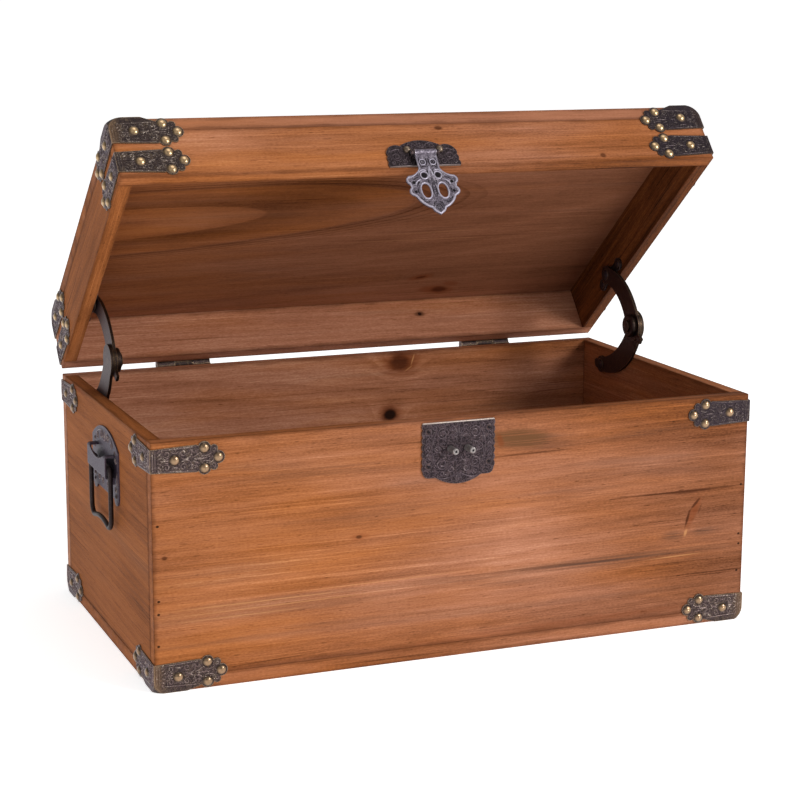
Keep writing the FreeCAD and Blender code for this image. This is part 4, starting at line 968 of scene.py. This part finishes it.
hasp_lines = Ornament()
for side in (-1, 1):
    hasp_lines.ring(mirrored(HASP_RIVET, side), 1.25, 0.32, 0.14)
    hasp_lines.dome(mirrored(HASP_RIVET, side), 0.5, 0.16)
    hasp_lines.dome(mirrored(HASP_BOSS, side), 1.9, 0.16)
    hasp_lines.dome((side * 13.0, 22.4), 1.15, 0.16)
    hasp_lines.dome((side * 13.0, 29.2), 1.0, 0.16)
for stem in (((5.6, 4.4), (6.2, 8.0), (5.4, 11.4)), ((1.0, 4.4), (0.4, 7.0), (1.4, 11.0)),
             ((1.6, 11.4), (4.2, 9.6), (5.4, 12.0)), ((2.2, 12.8), (1.6, 15.6), (2.6, 19.4)),
             ((7.2, 14.4), (8.4, 17.6), (6.6, 20.2)), ((8.4, 18.4), (11.6, 19.2), (12.8, 20.6)),
             ((8.6, 22.0), (10.4, 22.4), (11.0, 25.4)), ((10.8, 26.4), (12.0, 28.6), (10.8, 31.0)),
             ((8.4, 34.8), (10.0, 35.6), (11.2, 32.8)), ((5.0, 36.2), (7.4, 38.4), (9.6, 35.6)),
             ((0.6, 23.0), (1.7, 28.0), (0.6, 33.0)), ((0.4, 37.0), (3.4, 36.6), (3.2, 40.6)),
             ((0.4, 39.0), (2.2, 39.4), (2.0, 42.0)), ((1.8, 20.8), (3.6, 21.6), (2.2, 23.4))):
    hasp_lines.bend(*stem, 0.34, 0.15, twins=True)
for drop in np.linspace(20.0, 24.0, 5):
    reach = 2.0 - abs(drop - 22.0) * 0.6
    hasp_lines.ridge([(-reach, drop), (0, drop + 0.5), (reach, drop)], 0.24, 0.13)
for drop in np.linspace(26.0, 34.0, 6):
    hasp_lines.ridge([(-1.0, drop), (0, drop + 0.7), (1.0, drop)], 0.24, 0.13)
for drop in np.linspace(38.4, 43.6, 6):
    reach = 0.5 * (HASP_TIP - drop)
    hasp_lines.ridge([(-reach, drop - 0.5), (0, drop + 0.4), (reach, drop - 0.5)], 0.26, 0.13)


# Handle plates: places along the side wall and up from the bail's pivot

HANDLE_SCROLLS = [((7.4, 15.4), 3.3, -1.6, 150), ((17.6, 13.2), 2.6, 1.5, 180), ((27.6, 5.0), 2.4, 1.4, 90),
                  ((6.0, -14.6), 3.0, 1.5, 200), ((15.6, -14.4), 2.8, -1.5, 180), ((27.0, -13.6), 2.4, 1.3, 90)]
handle_work = Ornament()
for scroll in HANDLE_SCROLLS:
    handle_work.spiral(*scroll, 0.45, 0.45, twins=True)
handle_work.bend((0.8, 12.4), (2.6, 19.2), (9.6, 18.4), 0.42, 0.4, twins=True)
handle_work.bend((10.4, 17.6), (17.0, 17.2), (22.4, 12.4), 0.42, 0.4, twins=True)
handle_work.bend((28.4, -2.0), (31.4, -7.0), (29.4, -11.0), 0.42, 0.4, twins=True)
for angle, length in ((62, 4.6), (34, 3.8)):
    handle_work.leaf((0.4, 12.0), angle, length, 0.5, 0.4, twins=True)
handle_work.leaf((0, 12.0), 90, 7.4, 0.6, 0.45)


def on_side(side):
    def go(a, b, h):
        return (side * (HALF_WIDTH + LATCH_SHEET + h), HANDLE_Y + a, HANDLE_Z + b)
    return go


# Painted shade: small dark marks for the shade in the hollow tips of the posts and in the middles of the strike
# plate's nails

def on_posts(a, b, h):
    return (LATCH_X + a, -HALF_DEPTH - POST_TIP - h, POST_Z + b)


post_tip_shade = Ornament()
for side in (-1, 1):
    post_tip_shade.dome((side * POST_REACH, 0), 0.75, 0.12, 0.02)
nail_hole_shade = Ornament()
for side in (-1, 1):
    for nail in STRIKE_NAILS:
        nail_hole_shade.dome(mirrored(nail, side), 0.85, 0.12, 0.62)

# Sets of legs: a level, how far from it the legs' middle is, and whether they hang down from it
LEG_MIDDLE = 10.8
RIM_LEG_DROP = 11.3
leg_sets = {"base": [(BASE_HEIGHT - RIM_LEG_DROP, 0.0, False), (0.0, LEG_MIDDLE, False)],
            "lid": [(LID_FOOT + LEG_MIDDLE, 0.0, False), (LID_TOP, LEG_MIDDLE, True)]}
for body, sets in leg_sets.items():
    work = [(leg_work, way) for z, center, down in sets for way in bracket_ways(z, center, down, ON_LID[body])]
    if body == "base":
        work += [(handle_work, on_side(side)) for side in SIDES.values()]
    else:
        work += [(tab_work, tab_way(SIDES[side], ENDS[end])) for end, side in CORNERS]
    lay(body + "_bracket_ornament", work, raised_bronze[body], body)
lay("strike_ornament", [(strike_work, on_front(POST_Z, False))], raised_latch["base"], "base")
lay("hasp_plate_ornament", [(crown_work, on_front(LID_FOOT, True))], raised_latch["lid"], "lid")
lay("hasp_border", [(hasp_border, on_hasp)], raised_steel, "hasp")
lay("hasp_patina_lines", [(hasp_lines, on_hasp)], patina_and_hole_shade["lid"], "hasp")
lay("hole_shade_marks", [(post_tip_shade, on_posts), (nail_hole_shade, on_front(POST_Z, False))], patina_and_hole_shade["base"], "base")


# Camera, light and floor, in metres

LENS = 90.44
SENSOR_WIDTH = 36.0
CAMERA_PLACE = (-0.50556, -1.24030, 0.42516)
CAMERA_TURN = (0.76206795, 0.61830591, -0.12306214, -0.14766842)
LIGHTS = [("key", (1.4, -1.8, 1.0), (0, 0, 0.16), 0.8, 31), ("fill", (-1.5, -1.5, 0.9), (0, 0, 0.16), 1.2, 2),
          ("top", (0.2, -0.3, 2.2), (0, 0, 0.1), 1.4, 8)]
WHITE = (1.0, 1.0, 1.0, 1.0)
WORLD_LIGHT = 0.42
FLOOR_REACH = 40
FLOOR_GREY = (0.92, 0.92, 0.92, 1.0)
FLOOR_GLOW = 0.65

camera_data = bpy.data.cameras.new("camera")
camera_data.lens = LENS
camera_data.sensor_width = SENSOR_WIDTH
camera = bpy.data.objects.new("camera", camera_data)
camera.location = CAMERA_PLACE
camera.rotation_mode = "QUATERNION"
camera.rotation_quaternion = Quaternion(CAMERA_TURN)
bpy.context.scene.collection.objects.link(camera)
bpy.context.scene.camera = camera


def area_light(name, place, target, size, power):
    data = bpy.data.lights.new(name, "AREA")
    data.shape = "DISK"
    data.size = size
    data.energy = power
    light = bpy.data.objects.new(name, data)
    light.location = place
    light.rotation_mode = "QUATERNION"
    light.rotation_quaternion = (Vector(target) - Vector(place)).to_track_quat("-Z", "Y")
    bpy.context.scene.collection.objects.link(light)


for settings in LIGHTS:
    area_light(*settings)

world = bpy.data.worlds.new("studio")
world.use_nodes = True
background = world.node_tree.nodes["Background"]
background.inputs[0].default_value = WHITE
background.inputs[1].default_value = WORLD_LIGHT
bpy.context.scene.world = world

floor_mesh = bpy.data.meshes.new("floor")
floor_corners = [(a * FLOOR_REACH, b * FLOOR_REACH, 0) for a, b in ((-1, -1), (1, -1), (1, 1), (-1, 1))]
floor_mesh.from_pydata(floor_corners, [], [(0, 1, 2, 3)])
floor = bpy.data.objects.new("floor", floor_mesh)
bpy.context.scene.collection.objects.link(floor)
floor_graph = Graph("floor_white")
floor_mesh.materials.append(floor_graph.finish(Base_Color=FLOOR_GREY, Roughness=0.9, Emission_Color=WHITE,
                                             Emission_Strength=FLOOR_GLOW))
bpy.context.scene.view_settings.view_transform = "Standard"
